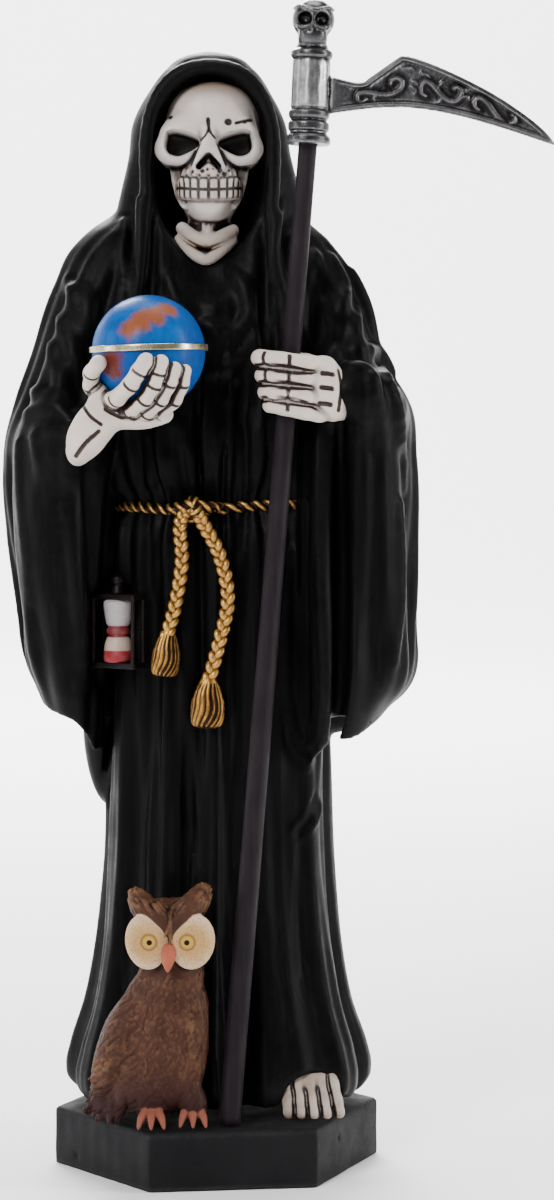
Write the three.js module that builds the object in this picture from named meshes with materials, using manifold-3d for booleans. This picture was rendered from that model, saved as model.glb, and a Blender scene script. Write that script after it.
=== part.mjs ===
// Santa muerte figure: a robed skeleton with a scythe, a globe and an owl, on a six-sided plinth.
// Millimetres, +Z up, front towards -Y. The origin is the middle of the plinth's underside.
import * as THREE from 'three';
import { mergeVertices } from 'three/addons/utils/BufferGeometryUtils.js';
import Module from 'manifold-3d';

const wasm = await Module();
wasm.setup();

// Plinth and the way the figure stands on it
const plinthRadius = 42.5; // centre to corner
const plinthHeight = 15;
const plinthEdge = 1.4; // worn rounding of its top and bottom edges
const seatGap = 0.3; // clearance between pieces that touch
const figureTurn = 7.5; // degrees that the figure looks to the side of the plinth's front
const figureHeight = 273; // hem to the top of the hood

// Globe and its ring
const globeRadius = 14.1;
const bandWidth = 1.6;
const bandStand = 0.7; // how far the ring stands out of the globe
const bandTilt = 2; // degrees

// Scythe
const staffFootRadius = 2.8;
const staffTopRadius = 2.3;
const staffLength = 256;
const staffFootX = 3.7; // where the staff stands on the plinth
const staffFootY = -30.5;
const footLift = 0.25; // keeps the low edge of the leaning staff's foot clear of the plinth
const socketRadius = 4.8;
const socketLength = 23.6;
const socketBore = 9; // depth that the staff goes up into the socket
const pommelHeight = 12.2;
const pommelWidth = 10.8;
const headLean = 2; // degrees that the head stands straighter than the staff
const bladeReach = 62; // staff's middle to the tip
const bladeThickness = 2.6;
const bladePocket = 0.45; // depth of the sunk panel inside the blade's rim
const bladeRim = 1.3;
const pommelCut = 1.6; // depth of the eyes, nose and teeth cut into the pommel

// Owl, hourglass, rope and bones
const owlHeight = 62;
const owlGap = 0.43; // clearance between the owl, the robe behind it and the staff's foot beside it
const hourglassHeight = 19;
const hourglassWidth = 13.6;
const hourglassDepth = 6;
const hourglassPlate = 1.5;
const hourglassPost = 1.2;
const glassRadius = 3.6;
const hangerRadius = 2.6; // knob that the hourglass hangs by
const hangerHeight = 5.4;
const beltRopeRadius = 1.3;
const tailRopeRadius = 1.9;
const knotRadius = 2.9;
const tasselLength = 11;
const tasselRadius = 3.9;
const fingerRadius = 2.3;
const fistFingerRadius = 2.35;
const forearmRadius = 3.9;
const toeRadius = 1.75;

// Facets
const pleats = 11;
const robeColumns = pleats * 3;
const sleeveColumns = 18;
const hoodColumns = 18;
const globeColumns = 18;

const percent = figureHeight / 100; // the figure's carving is set out in hundredths of its height
const figureBase = plinthHeight + seatGap;
const degree = Math.PI / 180;
const front = -90 * degree;

// A point of the figure, from hundredths of its height above the plinth's top.
function at(x, y, z) {
  return new THREE.Vector3(x * percent, y * percent, figureBase + z * percent);
}

// One closed solid from a geometry whose faces point out.
function solid(geometry) {
  geometry.deleteAttribute('normal');
  geometry.deleteAttribute('uv');
  const merged = mergeVertices(geometry, 1e-4);
  const corners = merged.index.array;
  const kept = [];
  for (let i = 0; i < corners.length; i += 3) {
    const [a, b, c] = [corners[i], corners[i + 1], corners[i + 2]];
    if (a !== b && b !== c && c !== a) kept.push(a, b, c);
  }
  const vertProperties = new Float32Array(merged.attributes.position.array);
  const triVerts = new Uint32Array(kept);
  return new wasm.Manifold(new wasm.Mesh({ numProp: 3, vertProperties, triVerts }));
}

function geometryOf(manifold) {
  const mesh = manifold.getMesh();
  const geometry = new THREE.BufferGeometry();
  geometry.setAttribute('position', new THREE.BufferAttribute(mesh.vertProperties, 3));
  geometry.setIndex(new THREE.BufferAttribute(mesh.triVerts, 1));
  geometry.computeVertexNormals();
  return geometry;
}

function join(pieces) {
  return pieces.reduce((whole, piece) => whole.add(piece));
}

// A closed skin: place(turn, row) gives the point at an angle seen from above, row by row upwards.
function skin(columns, rows, place) {
  const geometry = new THREE.CylinderGeometry(1, 1, rows, columns, rows);
  const position = geometry.attributes.position;
  for (let i = 0; i < position.count; i++) {
    const row = Math.round(position.getY(i) + rows / 2);
    const onAxis = Math.hypot(position.getX(i), position.getZ(i)) < 0.5;
    let point = new THREE.Vector3();
    if (onAxis) {
      for (let c = 0; c < columns; c++) point.add(place(front + c * 2 * Math.PI / columns, row));
      point.divideScalar(columns);
    } else {
      point = place(Math.atan2(-position.getZ(i), position.getX(i)), row);
    }
    position.setXYZ(i, point.x, point.y, point.z);
  }
  return solid(geometry);
}

function ball(center, rx, ry, rz, columns, rows, tilt = 0) {
  const geometry = new THREE.SphereGeometry(1, columns, rows);
  geometry.rotateX(Math.PI / 2);
  geometry.scale(rx, ry, rz);
  geometry.rotateY(tilt);
  geometry.translate(center.x, center.y, center.z);
  return solid(geometry);
}

// A turned shape standing on a point along a direction; the profile lists [radius, height].
function turned(profile, from, direction, sides) {
  const points = profile.map(([radius, height]) => new THREE.Vector2(radius, height));
  const geometry = new THREE.LatheGeometry(points, sides);
  const up = new THREE.Vector3(0, 1, 0);
  geometry.applyQuaternion(new THREE.Quaternion().setFromUnitVectors(up, direction.clone().normalize()));
  geometry.translate(from.x, from.y, from.z);
  return solid(geometry);
}

// A point at an angle on the circle round a direction.
function ringPoint(middle, along, radius, turn) {
  const across = Math.abs(along.y) > 0.9 ? new THREE.Vector3(0, 0, 1) : new THREE.Vector3(0, 1, 0);
  const side = across.cross(along).normalize();
  const rise = new THREE.Vector3().crossVectors(along, side);
  return middle.addScaledVector(side, radius * Math.cos(turn)).addScaledVector(rise, radius * Math.sin(turn));
}

// A round body swept along a curve through points; radiusOf gives its radius by share and angle.
function sweep(path, sides, rows, radiusOf) {
  const curve = new THREE.CatmullRomCurve3(path);
  return skin(sides, rows, (turn, row) => {
    const share = row / rows;
    return ringPoint(curve.getPoint(share), curve.getTangent(share), radiusOf(share, turn), turn);
  });
}

// Bones in a row, with a knuckle at each joint and a thinner shaft between.
function bones(joints, girth, sides = 4, waist = 0.8) {
  const last = joints.length - 1;
  const cap = 0.55 * girth;
  return skin(sides, 2 * last + 2, (turn, row) => {
    const station = Math.min(Math.max((row - 1) / 2, 0), last);
    const before = joints[Math.max(Math.ceil(station) - 1, 0)];
    const after = joints[Math.min(Math.floor(station) + 1, last)];
    const along = after.clone().sub(before).normalize();
    const end = row === 0 ? -1 : Number(row > 2 * last + 1);
    const point = joints[Math.floor(station)].clone().lerp(joints[Math.ceil(station)], station % 1);
    const shaft = station % 1 > 0 ? waist : 1;
    const radius = girth * (end === 0 ? shaft : 0.5);
    return ringPoint(point.addScaledVector(along, end * cap), along, radius, turn);
  });
}

function box(width, depth, height, center, turn = 0) {
  const geometry = new THREE.BoxGeometry(width, depth, height);
  geometry.rotateZ(turn);
  geometry.translate(center.x, center.y, center.z);
  return solid(geometry);
}

// A rounded oval seen from above: half width, and depth to the front or to the back.
function oval(turn, half, frontDepth, backDepth, square = 2.3) {
  const power = 2 / square;
  const c = Math.cos(turn);
  const s = Math.sin(turn);
  const depth = s < 0 ? frontDepth : backDepth;
  return [half * Math.sign(c) * Math.abs(c) ** power, depth * Math.sign(s) * Math.abs(s) ** power];
}

// A smooth hump of height 1 around an angle.
function hump(turn, middle, width) {
  const away = Math.atan2(Math.sin(turn - middle), Math.cos(turn - middle));
  return Math.exp(-((away / width) ** 2));
}

// Robe: height, half width, depth to the front and to the back, and depth of the pleats
const robeRows = [
  [0, 11.7, 7.8, 9.0, 0.1],
  [1.3, 13.4, 8.6, 10.0, 0.5],
  [2.8, 14.0, 8.9, 10.3, 0.62],
  [5.4, 13.5, 8.8, 10.0, 0.62],
  [9.7, 12.2, 8.3, 9.2, 0.55],
  [14.5, 11.3, 7.8, 8.6, 0.48],
  [22, 10.6, 7.4, 8.0, 0.4],
  [36, 10.3, 7.0, 7.6, 0.34],
  [54, 10.3, 6.8, 7.3, 0.3],
  [57.4, 9.8, 6.2, 6.8, 0.12],
  [60.5, 11, 7.3, 7.4, 0.45],
  [68, 12.2, 7.5, 7.5, 0.35],
  [76, 12.4, 6.8, 7.5, 0.1],
  [82, 10.0, 5.4, 6.4, 0],
];
const beltRow = 9;
const robeCenter = 0.15;

// The skirt opens in a deep fold beside the staff's foot, and swells over the bare foot.
function skirtFold(turn, height) {
  const low = Math.max(0, 1 - height / 20);
  const valley = hump(turn, front + (17 - height) * degree, 9 * degree);
  const swell = hump(turn, front + 46 * degree, 22 * degree);
  return low * (0.9 * swell - 1.1 * valley);
}

function robePoint(turn, row) {
  const [height, half, frontDepth, backDepth, pleat] = robeRows[row];
  const wave = pleat * Math.cos(pleats * (turn - front));
  const out = 1 + (wave + skirtFold(turn, height)) / half;
  const [x, y] = oval(turn, half * out, frontDepth * out, backDepth * out);
  return at(x + robeCenter, y, height);
}

// Sleeves: height, outer edge, inner edge, depth to the front and to the back
const globeSleeveRows = [
  [37.0, 16.6, 11.3, 5.0, 3.6],
  [40.4, 17.7, 10.8, 6.9, 4.3],
  [48, 18.6, 10.3, 8.9, 5.0],
  [55, 19.5, 9.8, 10.0, 5.6],
  [60.5, 19.8, 9.0, 10.3, 5.8],
  [66, 18.8, 7.6, 9.0, 5.8],
  [72, 17.0, 5.6, 7.7, 5.7],
  [78, 15.1, 3.8, 6.4, 5.4],
  [81.8, 13.4, 2.0, 5.2, 4.8],
  [83.8, 11.2, 1.0, 4.0, 4.0],
  [85.2, 8.6, 1.5, 2.4, 3.0],
];
const staffSleeveRows = [
  [35.2, 15.6, 7.6, 7.6, 3.6],
  [39.2, 18.2, 6.8, 9.2, 4.2],
  [46, 18.7, 6.6, 9.8, 4.8],
  [54, 18.8, 6.6, 10.0, 5.4],
  [60.5, 18.7, 6.8, 10.2, 5.7],
  [66, 17.8, 7.0, 9.4, 5.8],
  [71.5, 15.5, 5.8, 8.0, 5.7],
  [77, 13.7, 3.9, 6.5, 5.4],
  [80.8, 11.8, 2.0, 5.2, 4.8],
  [83.4, 9.4, 1.2, 4.0, 4.0],
  [84.8, 7.2, 1.5, 2.6, 3.0],
];
const sleeveFolds = 8;
const sleeveFoldDepth = 0.34;

// One sleeve: side is -1 or 1, the hem rises outwards, and a slot may open in front.
function sleeve(side, rows, slot) {
  const slotTurn = front - side * 22.5 * degree;
  return skin(sleeveColumns, rows.length - 1, (turn, row) => {
    const [height, outer, inner, frontDepth, backDepth] = rows[row];
    const half = (outer - inner) / 2;
    const rise = row / (rows.length - 1);
    const fold = sleeveFoldDepth * Math.cos(sleeveFolds * (turn - front) + side * 5 * rise);
    const out = 1 + fold * Math.sin(Math.PI * rise) ** 0.5 / half;
    const [x, y] = oval(turn, half * out, frontDepth * out, backDepth * out, 2.1);
    const hangs = Math.max(0, 1 - (height - rows[0][0]) / 9) ** 2;
    const hem = hangs * 2.1 * side * Math.cos(turn);
    const open = Math.max(0, 1 - ((height - 48) / 14) ** 2);
    const sunk = slot * open * hump(turn, slotTurn, 9 * degree);
    return at(side * (outer + inner) / 2 + x, y + sunk, height + hem);
  });
}

// The forearm part of a sleeve runs forward from the elbow and turns in to the wrist.
const cuffs = [
  { path: [at(-15.2, -2.5, 62.5), at(-15, -6.4, 62.6), at(-13.6, -9.6, 62.8)], wide: 3.6, narrow: 2.9 },
  { path: [at(14.4, -2.5, 65), at(14.4, -7.6, 66.4), at(12.3, -10.4, 67.8)], wide: 3.4, narrow: 3.0 },
];

function cuff({ path, wide, narrow }) {
  return sweep(path, 8, 3, (share) => percent * (wide + (narrow - wide) * share));
}

// The back of the cloak hangs lower behind the globe hand's sleeve.
function cloakTail() {
  return ball(at(-10.3, 2.6, 37), 2.7 * percent, 2.8 * percent, 8.8 * percent, 8, 6);
}

// Hood: height, half width, depth to the front and to the back
const hoodRows = [
  [76, 9.2, 6.4, 6.2],
  [82, 9.0, 6.1, 6.6],
  [86.6, 8.4, 5.6, 6.9],
  [90.4, 7.6, 5.6, 7.1],
  [93.3, 7.2, 5.7, 6.9],
  [96, 5.9, 5.6, 6.1],
  [98.3, 4.2, 4.8, 4.6],
  [99.5, 2.5, 3.3, 2.9],
  [100, 0.9, 1.4, 1.2],
];
const hoodCenter = -0.6;

function hood() {
  const outside = skin(hoodColumns, hoodRows.length - 1, (turn, row) => {
    const [height, half, frontDepth, backDepth] = hoodRows[row];
    const lappets = row < 3 ? 0.28 * Math.cos(9 * (turn - front)) : 0;
    const [x, y] = oval(turn, half + lappets, frontDepth + lappets, backDepth);
    return at(x + hoodCenter, y, height);
  });
  return outside.add(hoodRim());
}

// The rolled rim runs up from the chest beside the face, over the brow and down to the chest again.
function hoodRim() {
  const arch = [];
  const steps = 8;
  for (let i = 0; i <= steps; i++) {
    const turn = (i / steps - 0.5) * 200 * degree;
    arch.push(at(hoodCenter + 5.7 * Math.sin(turn), -5.2, 89 + 7.9 * Math.cos(turn)));
  }
  const path = [at(-7.9, -7.4, 72.5), at(-6.9, -6.4, 80), ...arch, at(5.8, -6.4, 80), at(6.8, -7.4, 72.5)];
  return sweep(path, 4, path.length - 1, (share) => percent * (0.55 + 0.25 * Math.sin(Math.PI * share)));
}

function faceHollow() {
  return ball(at(hoodCenter, -5.2, 88), 5.5 * percent, 7.6 * percent, 9.2 * percent, 12, 8);
}

// Skull, neck and collar bones
const skullCenter = -0.6;

function skull() {
  const cranium = ball(at(skullCenter, -1.2, 91.4), 4.9 * percent, 5.0 * percent, 5.1 * percent, 12, 7);
  const parts = [cranium, jaws()];
  for (const side of [-1, 1]) {
    const cheek = at(skullCenter + side * 2.7, -3.8, 90.8);
    parts.push(ball(cheek, 2.5 * percent, 2.1 * percent, 2.3 * percent, 8, 5, side * 12 * degree));
  }
  return join(parts).subtract(join(faceHoles()));
}

// Chin, both rows of teeth and the upper jaw: height, half width, depth, and how far the teeth stand out
const jawRows = [
  [83.8, 1.6, 1.1, 0],
  [84.9, 2.8, 2.2, 0],
  [85.7, 3.4, 2.9, 1],
  [86.4, 3.2, 2.75, 1],
  [86.6, 3.5, 3.0, 1],
  [87.7, 3.6, 3.0, 1],
  [89.6, 3.6, 2.4, 0],
];
const teethAcross = 5;

function jaws() {
  return skin(teethAcross * 4, jawRows.length - 1, (turn, row) => {
    const [height, half, depth, standing] = jawRows[row];
    const gap = standing * 0.05 * (1 - Math.cos(teethAcross * 2 * (turn - front)));
    const out = 1 - gap;
    return at(skullCenter + half * out * Math.cos(turn), -3.4 + depth * out * Math.sin(turn), height);
  });
}

function faceHoles() {
  const holes = [];
  for (const side of [-1, 1]) {
    const socket = at(skullCenter + side * 2.35, -6, 91.1);
    holes.push(ball(socket, 1.95 * percent, 2 * percent, 1.35 * percent, 7, 5, -side * 16 * degree));
    const nostril = at(skullCenter + side * 0.42, -6.1, 88.6);
    holes.push(ball(nostril, 0.5 * percent, 1.3 * percent, 0.85 * percent, 4, 4, side * 22 * degree));
  }
  return holes;
}

function neck() {
  const parts = [bones([at(skullCenter, -2.4, 79), at(skullCenter, -1.9, 85)], 2.1 * percent)];
  for (const [low, high] of [[79.6, 81.3], [81.2, 83.2]]) {
    const middle = at(skullCenter, -4.6, low);
    const ends = [-1, 1].map((side) => at(skullCenter + side * 2.9, -3.2, high));
    parts.push(bones([ends[0], middle, ends[1]], 0.62 * percent));
  }
  return join(parts);
}

// Globe hand: the palm lies under the globe and the fingers follow its surface
const globeCenter = at(-5.95, -12.4, 71.3);

function byGlobe(x, y, z, girth) {
  const way = new THREE.Vector3(x, y, z).normalize();
  return globeCenter.clone().addScaledVector(way, globeRadius + seatGap + girth);
}

function globeHand() {
  const fingers = [
    [[-8.6, -6.4, -13.2], [-4.2, -13.8, -9.5], [-1.2, -16.3, -4.2]],
    [[-5, -6, -16.4], [0.3, -11.9, -12.1], [2.7, -15.2, -8], [3.8, -16.2, -4.4]],
    [[-0.5, -5.5, -16.6], [4.6, -11.6, -11.5], [7.3, -14.4, -5.6]],
    [[3.4, -4.5, -16.6], [7.2, -8.9, -13], [9.7, -12.5, -6.4]],
  ];
  const thumb = [[-12.5, -4, -13], [-14.8, -8.6, -8], [-12.3, -11.6, -4.4]];
  const parts = [...fingers, thumb].map((joints) => {
    return bones(joints.map(([x, y, z]) => byGlobe(x, y, z, fingerRadius)), fingerRadius);
  });
  const wrist = byGlobe(-13.6, -5, -14.5, fingerRadius * 1.7);
  const palm = [wrist, byGlobe(-3, -3, -17, fingerRadius * 1.3), byGlobe(3, -3, -17, fingerRadius * 0.8)];
  parts.push(bones(palm, fingerRadius * 1.9, 5, 1));
  const sleeved = at(-13.9, -7.6, 61.2);
  for (const side of [-1, 1]) {
    const offset = new THREE.Vector3(side * 0.42, 0, -side * 0.36).multiplyScalar(forearmRadius);
    parts.push(bones([sleeved.clone().add(offset), wrist.clone().add(offset)], forearmRadius, 5, 0.94));
  }
  return join(parts);
}

// Fist: four fingers lie across the staff and close round it
const gripHeight = 68.2;
const gripCenter = at(6.8, -10.6, gripHeight);
const footPoint = new THREE.Vector3(staffFootX, staffFootY, figureBase + footLift);
const staffWay = gripCenter.clone().sub(footPoint).normalize();
const staffTop = footPoint.clone().addScaledVector(staffWay, staffLength);

function byStaff(x, y, z) {
  const rise = (figureBase + z * percent - footPoint.z) / staffWay.z;
  return footPoint.clone().addScaledVector(staffWay, rise).add(new THREE.Vector3(x, y, 0));
}

function fist() {
  const reach = staffTopRadius + seatGap + fistFingerRadius;
  const knuckle = 3 * percent;
  const spacing = fistFingerRadius * 1.75 / percent;
  const parts = [];
  for (let i = 0; i < 4; i++) {
    const height = gripHeight + 2.4 - i * spacing;
    const shorter = [0, 0.4, 0.8, 1.6][i];
    const joints = [
      byStaff(knuckle, -reach * 0.75, height + 0.25),
      byStaff(-reach * 0.165, -reach * 1.06, height),
      byStaff(-reach * 1.3 + shorter, -reach * 0.2, height - 0.1),
    ];
    parts.push(bones(joints, fistFingerRadius));
  }
  const thumb = [
    byStaff(knuckle * 1.1, reach * 0.2, gripHeight + 2.2),
    byStaff(0, reach * 1.25, gripHeight + 1.6),
  ];
  parts.push(bones(thumb, fistFingerRadius * 1.1));
  const back = byStaff(knuckle * 1.25, -knuckle * 0.18, gripHeight - 0.5);
  parts.push(ball(back, knuckle * 0.66, knuckle * 0.73, knuckle * 1.05, 8, 5, -8 * degree));
  const wrist = byStaff(knuckle * 1.34, knuckle * 0.06, gripHeight - 0.6);
  parts.push(bones([wrist, cuffs[1].path[1]], forearmRadius * 1.3, 6));
  return join(parts);
}

function bareFoot() {
  const toes = [];
  for (let i = 0; i < 5; i++) {
    const spread = i / 4 - 0.5;
    const knuckle = at(8.7 + 3.8 * spread, -6.4, 3.9 - 0.3 * spread);
    const tip = at(9.0 + 4.3 * spread, -9.1 + spread ** 2, 0).setZ(figureBase + toeRadius);
    toes.push(bones([knuckle, tip], toeRadius));
  }
  return join(toes);
}

// The hem is lifted over the toes.
function footHollow() {
  return ball(at(9, -8.2, 1.6), 2.7 * percent, 4.2 * percent, 2.7 * percent, 7, 4);
}

// Rope: a belt round the waist, a knot, and two twisted tails that end in tassels
function belt() {
  const around = 20;
  const geometry = new THREE.TorusGeometry(2, 1, 4, around);
  const position = geometry.attributes.position;
  const [height, half, frontDepth, backDepth] = robeRows[beltRow];
  for (let i = 0; i < position.count; i++) {
    const turn = Math.atan2(position.getY(i), position.getX(i));
    const out = Math.hypot(position.getX(i), position.getY(i)) - 2;
    const grow = (out + 0.4) * beltRopeRadius / percent;
    const [x, y] = oval(turn, half + grow, frontDepth + grow, backDepth + grow);
    const point = at(x + robeCenter, y, height);
    position.setXYZ(i, point.x, point.y, point.z + position.getZ(i) * beltRopeRadius);
  }
  return solid(geometry);
}

// A rope of two strands laid round each other.
function laidRope(path, radius, rows, twists) {
  return sweep(path, 5, rows, (share, turn) => {
    return radius * (1 + 0.17 * Math.cos(2 * (turn - Math.PI * twists * share)));
  });
}

function tassel(top) {
  const profile = [
    [0, -tasselLength], [0.85, -tasselLength], [1, -tasselLength * 0.72], [0.75, -tasselLength * 0.3],
    [0.45, -tasselLength * 0.1], [0, 1],
  ];
  const sized = profile.map(([share, height]) => [share * tasselRadius, height]);
  return turned(sized, top, new THREE.Vector3(0, 0, 1), 8);
}

function rope() {
  const knot = at(-2.3, -7.3, 57.2);
  const tails = [
    [at(-2.9, -7.8, 57), at(-2.9, -8.1, 52.4), at(-3.9, -8.0, 47.8), at(-5.2, -7.8, 45)],
    [at(-2.0, -7.8, 57), at(-0.1, -8.2, 53.6), at(1.1, -8.2, 48.8), at(0.4, -8.0, 44), at(-0.7, -7.9, 40.9)],
  ];
  const pieces = [belt(), ball(knot, knotRadius, knotRadius * 0.9, knotRadius * 0.72, 8, 5)];
  for (const path of tails) {
    pieces.push(laidRope(path, tailRopeRadius, 9, path.length));
    pieces.push(tassel(path[path.length - 1]));
  }
  return join(pieces);
}

// Owl, in hundredths of its own height. It stands before the robe's front and left of the staff's foot.
const owlFace = 3.6;
const owlBack = 11.5;
const owlRight = 22;
const robeReach = 8; // the robe's front beside the owl, in hundredths of the figure's height

function owlSolid() {
  const unit = owlHeight / 100;
  const left = staffFootX - staffFootRadius - owlGap - owlRight * unit;
  const before = -robeReach * percent - owlGap - owlBack * unit;
  const spot = (x, y, z) => new THREE.Vector3(left + x * unit, before + y * unit, figureBase + z * unit);
  const round = (x, y, z, rx, ry, rz, columns, rows, tilt = 0) => {
    const sizes = [rx, ry, rz].map((radius) => radius * unit);
    return ball(spot(x, y, z), ...sizes, columns, rows, tilt);
  };
  const bodyRows = [
    [3, -3, 6, 4], [9, -4, 14, 7.5], [18, -4.5, 20.5, 10], [28, -4.2, 23.3, 11],
    [40, -1.5, 21, 11.5], [52, 2.5, 16.5, 10.5], [66, 4.4, 12, 9],
  ];
  const pieces = [skin(9, bodyRows.length - 1, (turn, row) => {
    const [height, middle, half, depth] = bodyRows[row];
    const x = half * unit * Math.cos(turn);
    const y = depth * unit * Math.sin(turn);
    return spot(middle, 0, height).add(new THREE.Vector3(x, y, 0));
  })];
  pieces.push(round(owlFace, -0.5, 77, 17.5, 12, 12.5, 9, 6));
  pieces.push(round(-19, -2, 30, 8, 10, 23, 6, 6, 20 * degree));
  pieces.push(round(-24, 1, 12, 6, 7, 13, 5, 3, 32 * degree));
  for (const side of [-1, 1]) {
    pieces.push(round(owlFace + side * 10.6, -2, 89, 6.2, 5, 10.5, 5, 4, side * 20 * degree));
    pieces.push(round(owlFace + side * 9.8, -10.5, 75.6, 8.6, 3.4, 11.2, 8, 3, side * 8 * degree));
    pieces.push(round(1 + side * 7.5, -2, 6, 6, 5, 5, 5, 3));
    for (let toe = -1; toe <= 1; toe++) {
      pieces.push(round(1 + side * 7.5 + toe * 3.9, -6, 3.4, 2.4, 6, 3, 4, 3));
    }
  }
  const beak = [[0, 0], [2.6 * unit, unit], [0, 12 * unit]];
  pieces.push(turned(beak, spot(owlFace, -12, 73), new THREE.Vector3(0, -0.35, -1), 4));
  return join(pieces);
}

// Hourglass: two plates, four posts and a waisted glass, hung flat against the robe
const hourglassCenter = at(-9.1, -6.0, 45.5);
const hourglassTurn = -32 * degree;

function hourglassSolid() {
  const up = new THREE.Vector3(0, 0, 1);
  const half = hourglassHeight / 2;
  const frame = [];
  const corner = new THREE.Vector3();
  for (const end of [-1, 1]) {
    const level = end * (half - hourglassPlate / 2);
    frame.push(box(hourglassWidth, hourglassDepth, hourglassPlate, corner.clone().setZ(level)));
    for (const side of [-1, 1]) {
      const x = end * (hourglassWidth - hourglassPost) / 2;
      const y = side * (hourglassDepth - hourglassPost) / 2;
      const postHeight = hourglassHeight - hourglassPlate * 0.1;
      frame.push(box(hourglassPost, hourglassPost, postHeight, new THREE.Vector3(x, y, 0)));
    }
  }
  const inside = half - hourglassPlate * 0.5;
  const profile = [
    [0, -inside], [glassRadius, -inside], [glassRadius * 0.95, -inside * 0.5], [glassRadius * 0.4, 0],
    [glassRadius * 0.95, inside * 0.5], [glassRadius, inside], [0, inside],
  ];
  frame.push(turned(profile, new THREE.Vector3(), up, 8));
  const hanger = [[0, 0], [1, 0], [0.58, 0.44], [0.73, 0.74], [0, 1]].map(([radius, height]) => {
    return [radius * hangerRadius, height * hangerHeight];
  });
  frame.push(turned(hanger, new THREE.Vector3(0, 0, half - hourglassPlate * 0.13), up, 6));
  return join(frame);
}

// The space that the hourglass needs in the robe behind it.
function hourglassNest() {
  const room = [hourglassWidth, hourglassDepth, hourglassHeight].map((size) => size + 2 * seatGap);
  const body = box(...room, hourglassCenter, hourglassTurn);
  const top = hourglassCenter.clone().add(new THREE.Vector3(0, 0, hourglassHeight / 2));
  const radius = hangerRadius + seatGap;
  const profile = [[0, 0], [radius, 0], [radius * 0.76, hangerHeight], [0, hangerHeight + 2 * seatGap]];
  return body.add(turned(profile, top, new THREE.Vector3(0, 0, 1), 8));
}

// Scythe: a plain tapered staff, and a socket, pommel skull and blade cast in one
function staffSolid(grow) {
  const end = staffLength + grow;
  const profile = [[0, -grow], [staffFootRadius + grow, -grow], [staffTopRadius + grow, end], [0, end]];
  return turned(profile, footPoint, staffWay, 12);
}

function socketProfile() {
  const r = socketRadius;
  const l = socketLength;
  return [
    [0, 0], [r * 1.14, 0], [r * 1.14, l * 0.09], [r * 0.98, l * 0.12],
    [r * 1.05, l * 0.17], [r * 1.05, l * 0.23], [r * 0.94, l * 0.26],
    [r * 1.05, l * 0.29], [r * 1.05, l * 0.34], [r * 0.92, l * 0.36],
    [r * 0.92, l * 0.9], [r * 1.04, l * 0.92], [r * 1.04, l * 0.98], [r * 0.8, l], [0, l],
  ];
}

// The blade's outline in shares of its reach, from the staff's middle line at the height of its root.
function bladeShape(inset) {
  const s = bladeReach;
  const shape = new THREE.Shape();
  shape.moveTo(inset, s * 0.125 - inset);
  shape.bezierCurveTo(s * 0.13, s * 0.115 - inset, s * 0.2, s * 0.07 - inset, s * 0.23, s * 0.112 - inset);
  shape.lineTo(s * 0.355, s * 0.208 - inset);
  shape.bezierCurveTo(s * 0.38, s * 0.226 - inset, s * 0.62, s * 0.14 - inset, s * 0.78, s * 0.05 - inset);
  shape.bezierCurveTo(s * 0.88, -s * 0.01 - inset, s * 0.96, -s * 0.06, s - inset * 3, -s * 0.125 + inset);
  shape.bezierCurveTo(s * 0.8, -s * 0.07 + inset, s * 0.55, s * 0.012 + inset, s * 0.34, inset);
  shape.bezierCurveTo(s * 0.22, -s * 0.006 + inset, s * 0.14, -s * 0.03 + inset, inset, -s * 0.05 + inset);
  return shape;
}

function bladePlate(inset, thickness, middle) {
  const options = { depth: thickness, bevelEnabled: false, curveSegments: 4 };
  const geometry = new THREE.ExtrudeGeometry(bladeShape(inset), options);
  geometry.translate(0, 0, middle - thickness / 2);
  geometry.rotateX(Math.PI / 2);
  return solid(geometry);
}

function bladeSolid() {
  const floor = bladeThickness / 2 - bladePocket;
  const pocket = bladeThickness;
  const plate = bladePlate(0, bladeThickness, 0);
  const near = bladePlate(bladeRim, pocket, floor + pocket / 2);
  const far = bladePlate(bladeRim, pocket, -floor - pocket / 2);
  const root = box(socketRadius * 3.4, bladeThickness * 2, socketLength, new THREE.Vector3());
  return plate.subtract(near.add(far).subtract(root));
}

function pommel() {
  const w = pommelWidth / 2;
  const base = socketLength - pommelHeight * 0.05;
  const inPommel = (x, y, z) => new THREE.Vector3(x * w, y * w, base + z * pommelHeight);
  const cranium = ball(inPommel(0, -0.06, 0.62), w, w * 1.05, w, 8, 6);
  const rows = [[0, 0.72, 0.72], [0.22, 0.74, 0.78], [0.45, 0.8, 0.82]];
  const jaw = skin(8, 2, (turn, row) => {
    const [height, half, depth] = rows[row];
    return inPommel(half * Math.cos(turn), depth * Math.sin(turn) - 0.08, height);
  });
  const bite = 0.24;
  const holes = [];
  for (const side of [-1, 1]) {
    holes.push(ball(inPommel(side * 0.44, -1.05, 0.6), w * 0.36, w * 0.5, w * 0.34, 6, 4));
    holes.push(box(w * 0.09, pommelCut, pommelHeight * 0.2, inPommel(side * 0.3, -1.2, bite)));
  }
  holes.push(ball(inPommel(0, -1.15, 0.42), w * 0.13, pommelCut, w * 0.22, 4, 4));
  holes.push(box(w * 1.1, pommelCut, w * 0.09, inPommel(0, -1.2, bite)));
  return cranium.add(jaw).subtract(join(holes));
}

const headSeat = staffTop.clone().addScaledVector(staffWay, -socketBore);
const headWay = staffWay.clone().applyAxisAngle(new THREE.Vector3(0, 1, 0), -headLean * degree);
const headTurn = new THREE.Quaternion().setFromUnitVectors(new THREE.Vector3(0, 0, 1), headWay);
const bladeHeight = socketLength * 0.43;

function scytheHead() {
  const socket = turned(socketProfile(), new THREE.Vector3(), new THREE.Vector3(0, 0, 1), 10);
  const blade = geometryOf(bladeSolid());
  blade.translate(0, 0, bladeHeight);
  const whole = geometryOf(join([socket, solid(blade), pommel()]));
  whole.applyQuaternion(headTurn);
  whole.translate(headSeat.x, headSeat.y, headSeat.z);
  return solid(whole).subtract(staffSolid(seatGap));
}

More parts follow.
